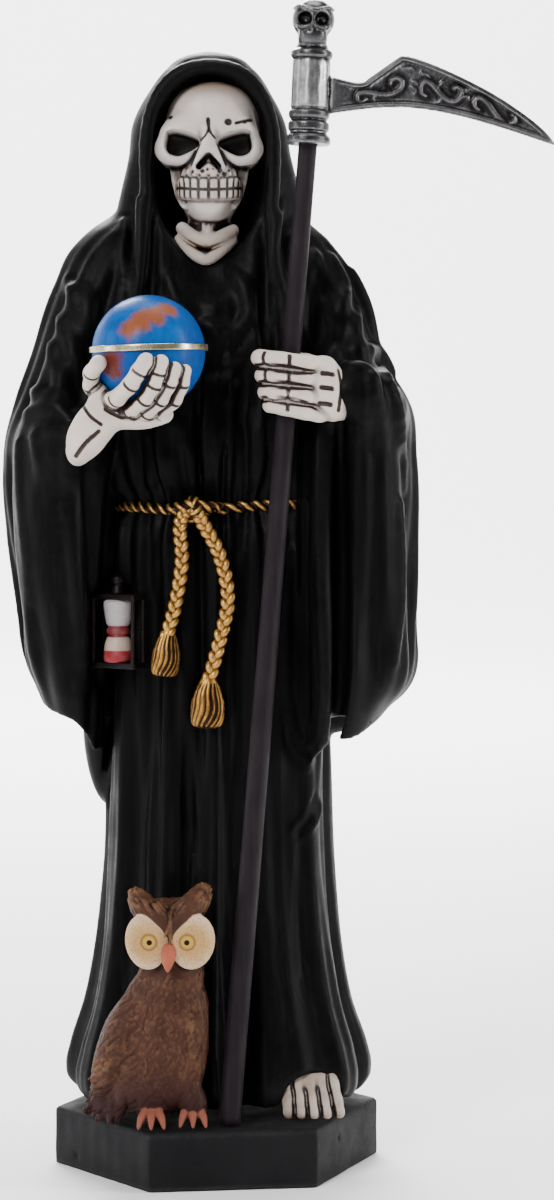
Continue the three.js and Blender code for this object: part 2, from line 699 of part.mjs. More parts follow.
// Globe, cut by the ring that runs round its middle
const globeAxis = new THREE.Vector3(Math.sin(bandTilt * degree), 0, Math.cos(bandTilt * degree));

function bandSolid() {
  const half = bandWidth / 2;
  const inner = globeRadius - bandStand;
  const outer = globeRadius + bandStand;
  const profile = [[inner, -half], [outer, -half], [outer, half], [inner, half], [inner, -half]];
  return turned(profile, globeCenter, globeAxis, globeColumns);
}

function globeSolid() {
  const half = bandWidth / 2 + seatGap;
  const inner = globeRadius - bandStand - seatGap;
  const steps = 5;
  const upper = [];
  for (let i = 0; i <= steps; i++) {
    const rise = Math.asin(half / globeRadius) + (Math.PI / 2 - Math.asin(half / globeRadius)) * i / steps;
    upper.push([globeRadius * Math.max(0, Math.cos(rise)), globeRadius * Math.sin(rise)]);
  }
  upper[steps][0] = 0;
  const lower = upper.map(([r, z]) => [r, -z]).reverse();
  return turned([...lower, [inner, -half], [inner, half], ...upper], globeCenter, globeAxis, globeColumns);
}

// The space that the globe and its ring need in the hand and robe.
function globeRoom() {
  const columns = 16;
  const room = (globeRadius + seatGap) / Math.cos(Math.PI / columns) ** 2;
  return ball(globeCenter, room, room, room, columns, columns / 2);
}

function plinthSolid() {
  const flat = 0.9; // share of the rounding that the bevel's first step takes
  const profile = [
    [0, 0], [plinthRadius - plinthEdge * flat, 0], [plinthRadius, plinthEdge],
    [plinthRadius, plinthHeight - plinthEdge], [plinthRadius - plinthEdge * flat, plinthHeight],
    [0, plinthHeight],
  ];
  const geometry = new THREE.LatheGeometry(profile.map(([r, z]) => new THREE.Vector2(r, z)), 6);
  geometry.rotateX(Math.PI / 2);
  geometry.rotateZ(front);
  return solid(geometry);
}

const robed = join([
  skin(robeColumns, robeRows.length - 1, robePoint),
  sleeve(-1, globeSleeveRows, 0),
  sleeve(1, staffSleeveRows, 3.2),
  ...cuffs.map(cuff),
  cloakTail(),
  hood(),
]).subtract(faceHollow().add(footHollow()));
const clearances = join([
  globeRoom(),
  staffSolid(seatGap),
  hourglassNest(),
]);
const figure = join([robed, skull(), neck(), globeHand(), fist(), bareFoot(), rope()])
  .subtract(clearances);
const hourglass = geometryOf(hourglassSolid());
hourglass.rotateZ(hourglassTurn);
hourglass.translate(hourglassCenter.x, hourglassCenter.y, hourglassCenter.z);

function piece(name, geometry, color, roughness, metalness) {
  const mesh = new THREE.Mesh(geometry, new THREE.MeshStandardMaterial({ color, roughness, metalness }));
  mesh.name = name;
  return mesh;
}

const standing = new THREE.Group();
standing.rotation.z = -figureTurn * degree;
standing.add(
  piece('figure', geometryOf(figure), 0x121214, 0.35, 0),
  piece('owl', geometryOf(owlSolid()), 0x5a3826, 0.7, 0),
  piece('globe', geometryOf(globeSolid()), 0x1f74c4, 0.35, 0),
  piece('globe_band', geometryOf(bandSolid()), 0xb8ae90, 0.3, 0.9),
  piece('hourglass', hourglass, 0x2c1a1a, 0.5, 0),
  piece('scythe_staff', geometryOf(staffSolid(0)), 0x37313a, 0.7, 0),
  piece('scythe_head', geometryOf(scytheHead()), 0x8f8f94, 0.35, 0.9),
);

const group = new THREE.Group();
group.add(piece('plinth', geometryOf(plinthSolid()), 0x2b2b2e, 0.8, 0), standing);

export default group;
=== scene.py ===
# %% [markdown]
# # A santa muerte figure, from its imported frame
# The real thing is a cast resin figure about 30 cm tall on a six-sided plinth: black robe, bone skull and hands,
# a gilt rope, a globe, an owl, an hourglass and a metal scythe. The frame says where each part is and how big it
# is. This lesson carves the detail into "clay", a grid that holds the distance to the surface, then paints it.

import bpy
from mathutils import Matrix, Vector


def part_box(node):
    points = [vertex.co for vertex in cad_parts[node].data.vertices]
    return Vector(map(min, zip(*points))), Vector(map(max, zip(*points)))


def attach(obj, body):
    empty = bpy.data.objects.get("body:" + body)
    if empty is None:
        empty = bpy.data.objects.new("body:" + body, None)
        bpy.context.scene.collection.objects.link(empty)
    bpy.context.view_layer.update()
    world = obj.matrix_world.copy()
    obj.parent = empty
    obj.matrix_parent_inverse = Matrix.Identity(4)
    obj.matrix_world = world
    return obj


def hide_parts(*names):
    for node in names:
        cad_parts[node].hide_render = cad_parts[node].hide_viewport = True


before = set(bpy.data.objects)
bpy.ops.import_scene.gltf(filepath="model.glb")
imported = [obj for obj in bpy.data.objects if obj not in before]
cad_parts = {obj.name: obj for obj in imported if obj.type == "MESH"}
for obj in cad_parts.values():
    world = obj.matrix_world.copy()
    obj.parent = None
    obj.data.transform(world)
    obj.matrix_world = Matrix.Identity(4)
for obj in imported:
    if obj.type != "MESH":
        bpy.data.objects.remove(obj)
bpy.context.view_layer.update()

import math

import bpy
import numpy as np
from mathutils import Matrix, Vector

print("nodes:", sorted(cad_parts))

# %% [markdown]
# The figure stands a little turned on its plinth. It is easier to carve it facing straight ahead, in millimetres,
# and to turn and shrink every finished piece into the frame at the end. Most tables are in hundredths of its height,
# as sculptors measure.

# %% The figure's own space
FIGURE_TURN = math.radians(-7.5)
PLINTH_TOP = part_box("plinth")[1].z * 1000
FIGURE_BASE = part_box("figure")[0].z * 1000
FIGURE_HEIGHT = (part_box("figure")[1].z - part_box("figure")[0].z) * 1000
PERCENT = FIGURE_HEIGHT / 100
TO_FRAME = Matrix.Rotation(FIGURE_TURN, 4, "Z") @ Matrix.Scale(0.001, 4)
FRONT = math.radians(-90)
COARSE = 1


def at(x, y, z):
    """A point of the figure from hundredths of its height, in millimetres."""
    return np.array([x * PERCENT, y * PERCENT, FIGURE_BASE + z * PERCENT])


print("figure", round(FIGURE_HEIGHT, 1), "mm tall, standing at", round(FIGURE_BASE, 1), "mm")

# %% [markdown]
# The camera comes first, because every choice after it is judged through it. It stands 0.8 m in front of the figure
# at chest height and looks a little down, which is how the product photo was taken with a long lens.

# %% Camera
CAMERA_PLACE = (0.0157, -0.8, 0.183)
LOOKS_DOWN = 2.6
camera_data = bpy.data.cameras.new("photo_camera")
camera_data.lens = 92.2
camera_data.sensor_width = 36
camera = bpy.data.objects.new("photo_camera", camera_data)
bpy.context.scene.collection.objects.link(camera)
camera.matrix_world = (Matrix.Rotation(FIGURE_TURN, 4, "Z") @ Matrix.Translation(Vector(CAMERA_PLACE))
                       @ Matrix.Rotation(math.radians(90 - LOOKS_DOWN), 4, "X"))
bpy.context.scene.camera = camera
print("camera at", [round(c, 3) for c in camera.matrix_world.translation])
# %% [markdown]
# ## Clay
# A casting has no seams: sleeves flow into the back, fingers into the palm. Joining meshes with booleans leaves hard
# creases, so the carved pieces are made as a distance field instead. Each shape gives its distance, and a smooth
# minimum melts the shapes together by as many millimetres as asked.

# %% Melting and cutting distances
def melt(a, b, blend):
    """The union of two distances, rounded where they meet."""
    if blend <= 0:
        return np.minimum(a, b)
    near = np.maximum(blend - np.abs(a - b), 0) / blend
    return np.minimum(a, b) - near * near * (blend / 4)


def carve(a, b, blend):
    """What is left of a where b is cut away."""
    return -melt(-a, b, blend)


def ease(value, low, high):
    """0 below low, 1 above high, and a smooth rise between."""
    t = np.clip((value - low) / (high - low), 0, 1)
    return t * t * (3 - 2 * t)


# %% [markdown]
# A shape is its box and a function that gives the distance at x, y and z. Balls and bones are enough for a skeleton:
# a bone is a rod with round ends and a girth that may taper.

# %% Balls and bones
def ball(center, radii, tilt=0, turn=0):
    """An egg; tilt leans it sideways as seen from the front, and turn spins it as seen from above."""
    center = np.array(center, float)
    radii = np.array(radii, float) * np.ones(3)
    c, s = math.cos(math.radians(tilt)), math.sin(math.radians(tilt))
    ct, st = math.cos(math.radians(turn)), math.sin(math.radians(turn))

    def distance(x, y, z):
        x, y, z = x - center[0], y - center[1], z - center[2]
        x, z = x * c - z * s, x * s + z * c
        x, y = x * ct + y * st, y * ct - x * st
        near = np.sqrt((x / radii[0]) ** 2 + (y / radii[1]) ** 2 + (z / radii[2]) ** 2)
        steep = np.sqrt((x / radii[0] ** 2) ** 2 + (y / radii[1] ** 2) ** 2 + (z / radii[2] ** 2) ** 2)
        return near * (near - 1) / np.maximum(steep, 1e-6)

    reach = radii.max()
    return center - reach, center + reach, distance


def bone(start, end, girth, end_girth=None):
    """A rod with round ends between two points."""
    start, end = np.array(start, float), np.array(end, float)
    end_girth = girth if end_girth is None else end_girth
    along = end - start
    length2 = float(along @ along) + 1e-9

    def distance(x, y, z):
        dx, dy, dz = x - start[0], y - start[1], z - start[2]
        t = np.clip((dx * along[0] + dy * along[1] + dz * along[2]) / length2, 0, 1)
        away = np.sqrt((dx - t * along[0]) ** 2 + (dy - t * along[1]) ** 2 + (dz - t * along[2]) ** 2)
        return away - (girth + (end_girth - girth) * t)

    reach = max(girth, end_girth)
    return np.minimum(start, end) - reach, np.maximum(start, end) + reach, distance


def smooth_path(points, count):
    """Points along a curve that passes through all the given ones."""
    points = np.array(points, float)
    padded = np.vstack([2 * points[0] - points[1], points, 2 * points[-1] - points[-2]])
    t = np.linspace(0, len(points) - 1, count)
    i = np.minimum(t.astype(int), len(points) - 2)
    f = (t - i)[:, None]
    a, b, c, d = padded[i], padded[i + 1], padded[i + 2], padded[i + 3]
    return 0.5 * (2 * b + (c - a) * f + (2 * a - 5 * b + 4 * c - d) * f ** 2 + (3 * b - a - 3 * c + d) * f ** 3)


# %% [markdown]
# Flat drawings help too: the outline of a blade or of an eye socket is a line on paper. These two say how far a
# point lies from such a line, and on which side.

# %% Flat drawings
def distance_to_line(x, z, line, closed=False):
    """How far each point lies from a drawn line, and how far along it the nearest place is."""
    best = np.full(np.broadcast(x, z).shape, 1e3)
    place = np.zeros_like(best)
    ends = np.vstack([line[1:], line[:1]]) if closed else line[1:]
    starts = line if closed else line[:-1]
    for i, (a, b) in enumerate(zip(starts, ends)):
        way = b - a
        t = np.clip(((x - a[0]) * way[0] + (z - a[1]) * way[1]) / max(way @ way, 1e-9), 0, 1)
        away = np.hypot(x - a[0] - t * way[0], z - a[1] - t * way[1])
        place = np.where(away < best, (i + t) / len(starts), place)
        best = np.minimum(best, away)
    return best, place


def inside_line(x, z, line):
    """True where a point lies inside a closed line."""
    odd = np.zeros(np.broadcast(x, z).shape, bool)
    for a, b in zip(line, np.roll(line, -1, 0)):
        if a[1] == b[1]:
            continue
        crosses = (a[1] > z) != (b[1] > z)
        odd ^= crosses & (x < (b[0] - a[0]) * (z - a[1]) / (b[1] - a[1]) + a[0])
    return odd


# %% [markdown]
# The clay itself is the grid. A shape only touches the window round it, so a finger costs next to nothing. The skin
# is pulled off with surface nets: one vertex in every cell that the surface crosses, one quad across every crossed
# edge. A last pull along the slope puts the vertices exactly on the surface.

# %% The clay grid
CORNERS = [(i, j, k) for i in (0, 1) for j in (0, 1) for k in (0, 1)]


class Clay:
    def __init__(self, low, high, step):
        self.step = step * COARSE
        self.low = np.array(low, float)
        self.count = np.ceil((np.array(high) - self.low) / self.step).astype(int) + 1
        self.field = np.full(self.count, 10, np.float32)

    def axes(self, low, high):
        """The window of the grid round a box, and its points along x, y and z."""
        start = np.clip(((low - self.low) / self.step).astype(int) - 1, 0, self.count - 2)
        stop = np.clip(((high - self.low) / self.step).astype(int) + 2, start + 2, self.count)
        lines = [(self.low[i] + self.step * np.arange(start[i], stop[i])).astype(np.float32) for i in range(3)]
        return tuple(slice(start[i], stop[i]) for i in range(3)), *np.ix_(*lines)

    def apply(self, shape, blend, how):
        low, high, distance = shape
        margin = max(blend, 2) + 2 * self.step
        window, x, y, z = self.axes(np.array(low) - margin, np.array(high) + margin)
        self.field[window] = how(self.field[window], distance(x, y, z), blend)

    def add(self, shape, blend=1):
        self.apply(shape, blend, melt)

    def cut(self, shape, blend=0.5):
        self.apply(shape, blend, carve)

    def add_path(self, points, girths, blend=1, count=0, own=0.3):
        """A bent bone: short rods joined first to each other, and then to the clay."""
        self.add(path_shape(points, girths, count, own), blend)

    def cut_path(self, points, girths, blend=0.5, count=0):
        self.cut(path_shape(points, girths, count, 0), blend)

    def sample(self, points):
        """The distance at any points, mixed from the eight grid corners round each."""
        cell = (points - self.low) / self.step
        base = np.clip(np.floor(cell).astype(int), 0, self.count - 2)
        f = np.clip(cell - base, 0, 1)
        share, total = (1 - f, f), 0
        for i, j, k in CORNERS:
            weight = share[i][:, 0] * share[j][:, 1] * share[k][:, 2]
            total = total + weight * self.field[base[:, 0] + i, base[:, 1] + j, base[:, 2] + k]
        return total

    def slope(self, points):
        """The way out of the clay, and how steeply the distance grows along it."""
        out = np.stack([self.sample(points + offset) - self.sample(points - offset)
                        for offset in np.eye(3) * self.step * 0.6], 1)
        steep = np.linalg.norm(out, axis=1)
        return out / np.maximum(steep, 1e-6)[:, None], steep / (1.2 * self.step)

    def front(self, x, z):
        """Where a straight look from the front first meets the clay, at each x and z."""
        x, z = np.atleast_1d(x), np.atleast_1d(z)
        y = np.full(len(x), self.low[1])
        for _ in range(260):
            away = self.sample(np.stack([x, y, z], 1))
            y = y + np.clip(away, 0, 1.5) * (away > 0.02) * 0.8
        return y

# %% A shape that follows a path
def path_shape(points, girths, count, own):
    points = np.array(points, float)
    girths = np.array(girths, float) * np.ones(len(points))
    if count:
        girths = np.interp(np.linspace(0, len(points) - 1, count), np.arange(len(points)), girths)
        points = smooth_path(points, count)
    rods = [bone(a, b, g, h) for a, b, g, h in zip(points[:-1], points[1:], girths[:-1], girths[1:])]

    def distance(x, y, z):
        whole = rods[0][2](x, y, z)
        for rod in rods[1:]:
            whole = melt(whole, rod[2](x, y, z), own)
        return whole

    return np.min([r[0] for r in rods], 0), np.max([r[1] for r in rods], 0), distance


# %% Pulling the skin off the clay
def surface_net(clay):
    """Vertices and quads of the surface, in millimetres."""
    field = clay.field
    solid = field < 0
    small = solid.astype(np.uint8)
    a, b, c = np.array(small.shape) - 1
    total = sum(small[i:a + i, j:b + j, k:c + k] for i, j, k in CORNERS)
    crossed = (total > 0) & (total < 8)
    cells = np.argwhere(crossed)
    number = np.full(crossed.shape, -1, np.int32)
    number[crossed] = np.arange(len(cells))
    value = [field[tuple((cells + corner).T)] for corner in CORNERS]
    point = np.zeros((len(cells), 3))
    hits = np.zeros(len(cells))
    for a in range(8):
        for axis, bit in enumerate((4, 2, 1)):
            if a & bit:
                continue
            start, end = value[a], value[a | bit]
            cross = (start < 0) != (end < 0)
            spot = np.array(CORNERS[a], float) * cross[:, None]
            spot[:, axis] += np.where(cross, start / np.where(cross, start - end, 1), 0)
            point += spot
            hits += cross
    points = clay.low + clay.step * (cells + point / hits[:, None])
    quads = []
    for axis in range(3):
        u, v = [np.eye(3, dtype=int)[(axis + n) % 3] for n in (1, 2)]
        first = [slice(1, n - 1) for n in field.shape]
        first[axis] = slice(0, field.shape[axis] - 1)
        second = list(first)
        second[axis] = slice(1, field.shape[axis])
        begins, ends = solid[tuple(first)], solid[tuple(second)]
        edges = np.argwhere(begins != ends)
        outward = begins[tuple(edges.T)]
        edges = edges + np.array([s.start for s in first])
        ring = np.stack([number[tuple((edges - w).T)] for w in (0 * u, u, u + v, v)], 1)
        ring[~outward] = ring[~outward][:, ::-1]
        quads.append(ring)
    for _ in range(2):
        way, steep = clay.slope(points)
        away = clay.sample(points) / np.clip(steep, 0.5, 2)
        points = points - way * np.clip(away, -0.4 * clay.step, 0.4 * clay.step)[:, None]
    return points, np.vstack(quads)


# %% [markdown]
# A painter's wash settles in hollows and a dry brush catches crests; here the same two marks also paint shade
# into the hollows and highlights onto the crests. Both can be read from the clay: step out from the surface, and
# where the way out is blocked the distance grows more slowly. Every vertex keeps the two readings as "hollow" and
# "crest", which the materials use as masks.

# %% From clay to a mesh ready for paint
def mesh_object(name, points, faces, to=TO_FRAME):
    """A mesh from arrays of millimetre points and of faces with three or four corners each."""
    mesh = bpy.data.meshes.new(name)
    mesh.vertices.add(len(points))
    mesh.vertices.foreach_set("co", np.asarray(points, np.float32).ravel())
    corners = faces.shape[1]
    mesh.loops.add(faces.size)
    mesh.loops.foreach_set("vertex_index", faces.ravel().astype(np.int32))
    mesh.polygons.add(len(faces))
    mesh.polygons.foreach_set("loop_start", np.arange(0, faces.size, corners, dtype=np.int32))
    mesh.update(calc_edges=True)
    mesh.validate()
    mesh.transform(to)
    mesh.shade_smooth()
    made = bpy.data.objects.new(name, mesh)
    bpy.context.scene.collection.objects.link(made)
    return made


def keep_masks(piece, **masks):
    """Keeps a number from 0 to 1 on every vertex, under each mask's name."""
    for name, values in masks.items():
        mask = piece.data.attributes.new(name, "FLOAT", "POINT")
        mask.data.foreach_set("value", np.clip(values, 0, 1).astype(np.float32))

# %% Finish a piece of clay
MOST_TRIANGLES = 190000


def finish_clay(name, clay, reaches, masks=None, place=Matrix.Identity(4), to=TO_FRAME):
    """The clay's skin as an object, with its hollow and crest readings and any other masks."""
    points, quads = surface_net(clay)
    way, _ = clay.slope(points)
    hollow, crest = 0, 0
    for reach in reaches:
        hollow = hollow + np.clip(1 - clay.sample(points + way * reach) / reach, 0, 1) / len(reaches)
        crest = crest + np.clip(1 + clay.sample(points - way * reach) / reach, 0, 1) / len(reaches)
    piece = mesh_object(name, points, quads, to @ place)
    keep_masks(piece, hollow=hollow * 1.6, crest=crest * 1.6, **(masks(points) if masks else {}))
    if len(quads) * 2 > MOST_TRIANGLES:
        thin = piece.modifiers.new("thin_out", "DECIMATE")
        thin.ratio = MOST_TRIANGLES / (len(quads) * 2)
        bpy.context.view_layer.objects.active = piece
        bpy.ops.object.modifier_apply(modifier=thin.name)
        piece.data.shade_smooth()
    print(name, "made of", len(piece.data.vertices), "vertices")
    return piece


# %% [markdown]
# ## The robe
# Robe, sleeves, hood and cloak are one casting, carved to look like heavy cloth. Each big form is a loft: a table
# of its half widths and depths at rising heights, read as a rounded oval from above. Folds are added to the oval's
# radius, so they run with the form, and the lofts are melted together as putty would be.

# %% A loft from a table of rows
def along_rows(height, heights, values):
    """A smooth curve through a table's column."""
    slopes = np.gradient(values, heights)
    height = np.clip(height, heights[0], heights[-1])
    i = np.clip(np.searchsorted(heights, height) - 1, 0, len(heights) - 2)
    span = heights[i + 1] - heights[i]
    t = (height - heights[i]) / span
    a, b = values[i], values[i + 1]
    m, n = slopes[i] * span, slopes[i + 1] * span
    return a + t * (m + t * (3 * (b - a) - 2 * m - n + t * (2 * (a - b) + m + n)))


def loft(rows, fold=None, power=2.3, hem=None, wall=0, room=0, top_blend=2):
    """rows: height, left edge, right edge, depth to the front, depth to the back; all in hundredths."""
    table = np.array(rows, float) * PERCENT
    heights = table[:, 0] + FIGURE_BASE
    low = np.array([table[:, 1].min() - 3, -table[:, 3].max() - 3, heights[0] - 3])
    high = np.array([table[:, 2].max() + 3, table[:, 4].max() + 3, heights[-1] + 3])

    def distance(x, y, z):
        level = z if hem is None else z - hem(x, y, z)
        left, right, front, back = [along_rows(level, heights, table[:, i]) for i in (1, 2, 3, 4)]
        half = np.maximum((right - left) / 2, 0.3)
        dx = x - (left + right) / 2
        depth = np.maximum(np.where(y < 0, front, back), 0.3)
        across, deep = np.abs(dx) / half, np.abs(y) / depth
        ring = np.maximum((across ** power + deep ** power) ** (1 / power), 0.02)
        steep = ring ** (1 - power) * np.sqrt((across ** (power - 1) / half) ** 2 + (deep ** (power - 1) / depth) ** 2)
        away = (ring - 1) / np.maximum(steep, 1e-3)
        if fold is not None:
            away = away - fold(np.arctan2(y, dx) - FRONT, level)
        whole = carve(carve(away, level - heights[0], 1.2), heights[-1] - level, top_blend)
        if room:
            inside = np.maximum(away + wall, level - heights[0] - room)
            whole = carve(whole, inside, 0.8)
        return whole

    return low, high, distance


def percent_height(level):
    return (level - FIGURE_BASE) / PERCENT


def hump(angle, middle, width):
    away = np.arctan2(np.sin(angle - middle), np.cos(angle - middle))
    return np.exp(-(away / width) ** 2)


# %% [markdown]
# Real folds are not a sine wave. Cloth that hangs has broad round crests and narrow valleys, no two the same, and
# they wander a little as they fall. So the wave is bent by a power, a second wave breaks its rhythm, and a slow
# drift of the angle with height keeps the lines from looking ruled.

# %% The skirt's folds
SKIRT_ROWS = [
    [0.9, -13, 13.3, 8.6, 9.8, 0.4], [1.9, -13.55, 13.85, 8.85, 10.2, 0.6], [3.2, -13.7, 14, 8.9, 10.3, 0.66],
    [5.4, -13.25, 13.6, 8.8, 10, 0.66], [9.7, -12, 12.3, 8.3, 9.2, 0.58], [14.5, -11.15, 11.45, 7.8, 8.6, 0.52],
    [22, -10.45, 10.75, 7.4, 8, 0.45], [36, -10.15, 10.45, 7, 7.6, 0.4], [50, -10.15, 10.45, 6.85, 7.3, 0.36],
    [54.6, -10, 10.3, 6.7, 7.15, 0.34], [57.4, -9.6, 9.9, 6.15, 6.7, 0.3], [60, -10.6, 10.9, 7.1, 7.3, 0.5],
    [64, -11.6, 11.9, 7.6, 7.5, 0.46], [68, -12, 12.3, 7.5, 7.5, 0.34], [76, -12.25, 12.4, 6.8, 7.5, 0.12],
    [82, -9.9, 10.2, 5.4, 6.4, 0],
]
PLEATS = 11
pleat_heights, pleat_depths = np.array(SKIRT_ROWS)[:, [0, 5]].T


def cloth_wave(phase, sharp=1.7):
    """1 on the broad crests and -1 in the narrow valleys."""
    return 1 - 2 * ((1 - np.cos(phase)) / 2) ** sharp


def skirt_fold(angle, level):
    height = percent_height(level)
    depth = along_rows(height, pleat_heights, pleat_depths)
    drift = 0.5 * np.sin(height / 11) + 0.3 * np.sin(height / 4.7 + 2)
    wave = cloth_wave(PLEATS * angle + drift) + 0.45 * cloth_wave(23 * angle + 1.1 - 1.4 * drift, 1.3)
    wave = wave + 0.2 * np.cos(41 * angle + 0.8 * drift)
    waist = np.exp(-((height - 57.4) / 2.6) ** 2)
    gathers = 0.26 * np.cos(38 * angle + 2 * drift) * np.exp(-((height - 58.5) / 7) ** 2)
    low = np.maximum(0, 1 - height / 20)
    valley = hump(angle, np.radians(17 - 0.95 * height), np.radians(8.5))
    swell = hump(angle, np.radians(46), np.radians(22))
    ridge = hump(angle, np.radians(29 - 1.6 * height), np.radians(4.5)) * ease(height, 19, 9)
    edge = hump(angle, np.radians(6 - 1.5 * height), np.radians(4)) * ease(height, 15, 6)
    calm = 1 - 0.75 * hump(angle, np.radians(40), np.radians(26)) * ease(height, 56, 46)
    special = low * (0.9 * swell - 1.35 * valley) + 0.42 * ridge + 0.3 * edge
    return PERCENT * (depth * wave * calm * (1 - 0.6 * waist) + gathers + special)


def skirt_hem(x, y, z):
    """The hem waves a little, and is drawn up over the bare foot."""
    over_foot = np.exp(-((x - 24) / 7.5) ** 2) * ease(y, -6, -16)
    low = ease(z, FIGURE_BASE + 22, FIGURE_BASE + 4)
    return low * (0.5 * np.sin(x * 0.33 + 1) * np.cos(y * 0.2) + 3.2 * over_foot)


print("skirt of", len(SKIRT_ROWS), "rows and", PLEATS, "pleats")

# %% [markdown]
# A wide sleeve hangs from each bent forearm. Its mouth opens forwards, so the front shows an outer panel, a dark
# slot, and the near edge of the mouth as a thin ridge. The hem is hollowed from below, as the real casting is.

# %% The sleeves' tables and folds
GLOBE_SLEEVE = [
    [37, -16.6, -11.3, 5, 3.6], [40.4, -17.7, -10.8, 6.9, 4.3], [48, -18.6, -10.3, 8.9, 5],
    [55, -19.5, -9.8, 10, 5.6], [60.5, -19.8, -9, 10.3, 5.8], [66, -18.8, -7.6, 9, 5.8],
    [72, -17, -5.6, 7.7, 5.7], [78, -15.1, -3.8, 6.4, 5.4], [81.8, -13.4, -2, 5.2, 4.8],
    [83.8, -11.2, -1, 4, 4], [85.2, -8.6, -1.5, 2.4, 3],
]
STAFF_SLEEVE = [
    [35.2, 7.6, 15.6, 7.6, 3.6], [39.2, 6.8, 18.2, 9.2, 4.2], [46, 6.6, 18.7, 9.8, 4.8],
    [54, 6.6, 18.8, 10, 5.4], [60.5, 6.8, 18.7, 10.2, 5.7], [66, 7, 17.8, 9.4, 5.8],
    [71.5, 5.8, 15.5, 8, 5.7], [77, 3.9, 13.7, 6.5, 5.4], [80.8, 2, 11.8, 5.2, 4.8],
    [83.4, 1.2, 9.4, 4, 4], [84.8, 1.5, 7.2, 2.6, 3],
]


def sleeve_fold(side):
    def fold(angle, level):
        height = percent_height(level)
        amount = 0.36 * ease(height, 34, 44) * ease(height, 86, 74)
        drift = side * (0.028 * height + 0.5 * np.sin(height / 7.5))
        wave = cloth_wave(8 * angle + drift * 1.6, 1.5) + 0.5 * cloth_wave(17 * angle - drift + 0.7, 1.3)
        slant = cloth_wave(5 * angle - side * height / 3.4, 1.4) * np.exp(-((height - 68) / 5) ** 2)
        return PERCENT * (amount * wave + 0.2 * slant)
    return fold


def sleeve_hem(side, rows):
    middle = PERCENT * (rows[0][1] + rows[0][2]) / 2
    half = PERCENT * (rows[0][2] - rows[0][1]) / 2

    def hem(x, y, z):
        hangs = np.clip(1 - (percent_height(z) - rows[0][0]) / 11, 0, 1.4) ** 2
        across = np.clip((x - middle) / half, -1.3, 1.3)
        return PERCENT * hangs * (2.1 * side * across + 0.35 * np.sin(x * 0.45 + side))
    return hem


print("sleeves of", len(GLOBE_SLEEVE), "and", len(STAFF_SLEEVE), "rows")

# %% [markdown]
# The hood is a loft too. The face opening is an egg cut out of it, and the rolled rim that frames the face runs on
# down the chest as two lappets, each with a thinner fold beside it.

# %% The hood's table and its lines
HOOD = [
    [76, -9.8, 8.6, 6.4, 6.2], [82, -9.6, 8.4, 6.1, 6.6], [86.6, -9, 7.8, 5.6, 6.9], [90.4, -8.2, 7, 5.6, 7.1],
    [93.3, -7.8, 6.6, 5.7, 6.9], [96, -6.5, 5.3, 5.6, 6.1], [98.3, -4.75, 3.6, 4.8, 4.6], [99.5, -3.1, 1.9, 3.3, 2.9],
    [100, -1.5, 0.3, 1.4, 1.2],
]
HOOD_MIDDLE = -0.6


def hood_fold(angle, level):
    height = percent_height(level)
    drapes = 0.2 * cloth_wave(9 * angle + 0.5 * np.sin(height / 3), 1.4) * ease(height, 92, 84)
    crown = 0.1 * np.cos(7 * angle + height / 2.6) * ease(height, 86, 92) * ease(height, 99, 96)
    return PERCENT * (drapes + crown)


def hood_rim_path():
    arch = []
    for turn in np.radians(np.linspace(-100, 100, 13)):
        side, top = [math.copysign(abs(v) ** 0.84, v) for v in (math.sin(turn), math.cos(turn))]
        arch.append(at(HOOD_MIDDLE + 0.1 + 5.95 * side, -5.3, 89 + 8.9 * top))
    left = [at(-8, -7.3, 72), at(-7.7, -7, 76), at(-6.8, -6.4, 81), at(-6.55, -5.7, 85)]
    right = [at(5.3, -5.7, 85), at(5.5, -6.4, 81), at(6.3, -7, 76), at(6.6, -7.3, 72)]
    return left + arch + right


print("hood of", len(HOOD), "rows")

# %% Carve the robe
def front_path(clay, line, sink):
    """Points on the front of the clay, moved in by sink. A point beside the clay keeps its neighbour's depth."""
    x, z = np.array(line, float).T
    y = clay.front(x, z)
    met = np.flatnonzero(clay.sample(np.stack([x, y, z], 1)) < 0.5)
    return np.stack([x, np.interp(np.arange(len(x)), met, y[met]) + sink, z], 1)


def raise_folds(girth, rise, blend, count, *lines):
    """Melts each line into the robe as a ridge that stands out by rise."""
    taper = np.clip(np.sin(np.linspace(0.18, 1, count) * math.pi * 0.92) ** 0.5, 0.35, 1)
    for line in lines:
        path = front_path(robe_clay, smooth_path(line, count), girth - rise)
        robe_clay.add_path(path, girth * taper, blend, 0, 0.5)


def press_folds(girth, depth, blend, count, *lines):
    """Presses each line into the robe."""
    taper = np.sin(np.linspace(0.12, 0.9, count) * math.pi) ** 0.5
    for line in lines:
        path = front_path(robe_clay, smooth_path(line, count), depth - girth)
        robe_clay.cut_path(path, girth * taper, blend)


robe_clay = Clay([-58, -40, 14], [58, 34, 291], 0.78)
robe_clay.add(loft([row[:5] for row in SKIRT_ROWS], skirt_fold, 2.3, skirt_hem, wall=2.4, room=4.5), 0)
for side, rows in ((-1, GLOBE_SLEEVE), (1, STAFF_SLEEVE)):
    robe_clay.add(loft(rows, sleeve_fold(side), 2.1, sleeve_hem(side, rows), wall=1.9, room=6), 2.5)
robe_clay.add(loft(HOOD, hood_fold, 2.3), 3.5)
print("robe grid", robe_clay.field.shape)

# %% [markdown]
# Now the parts that cross over the lofts: the forearms inside their sleeves, the tail of the cloak behind, the rim,
# the hollow for the face, and the slots of the sleeve mouths.

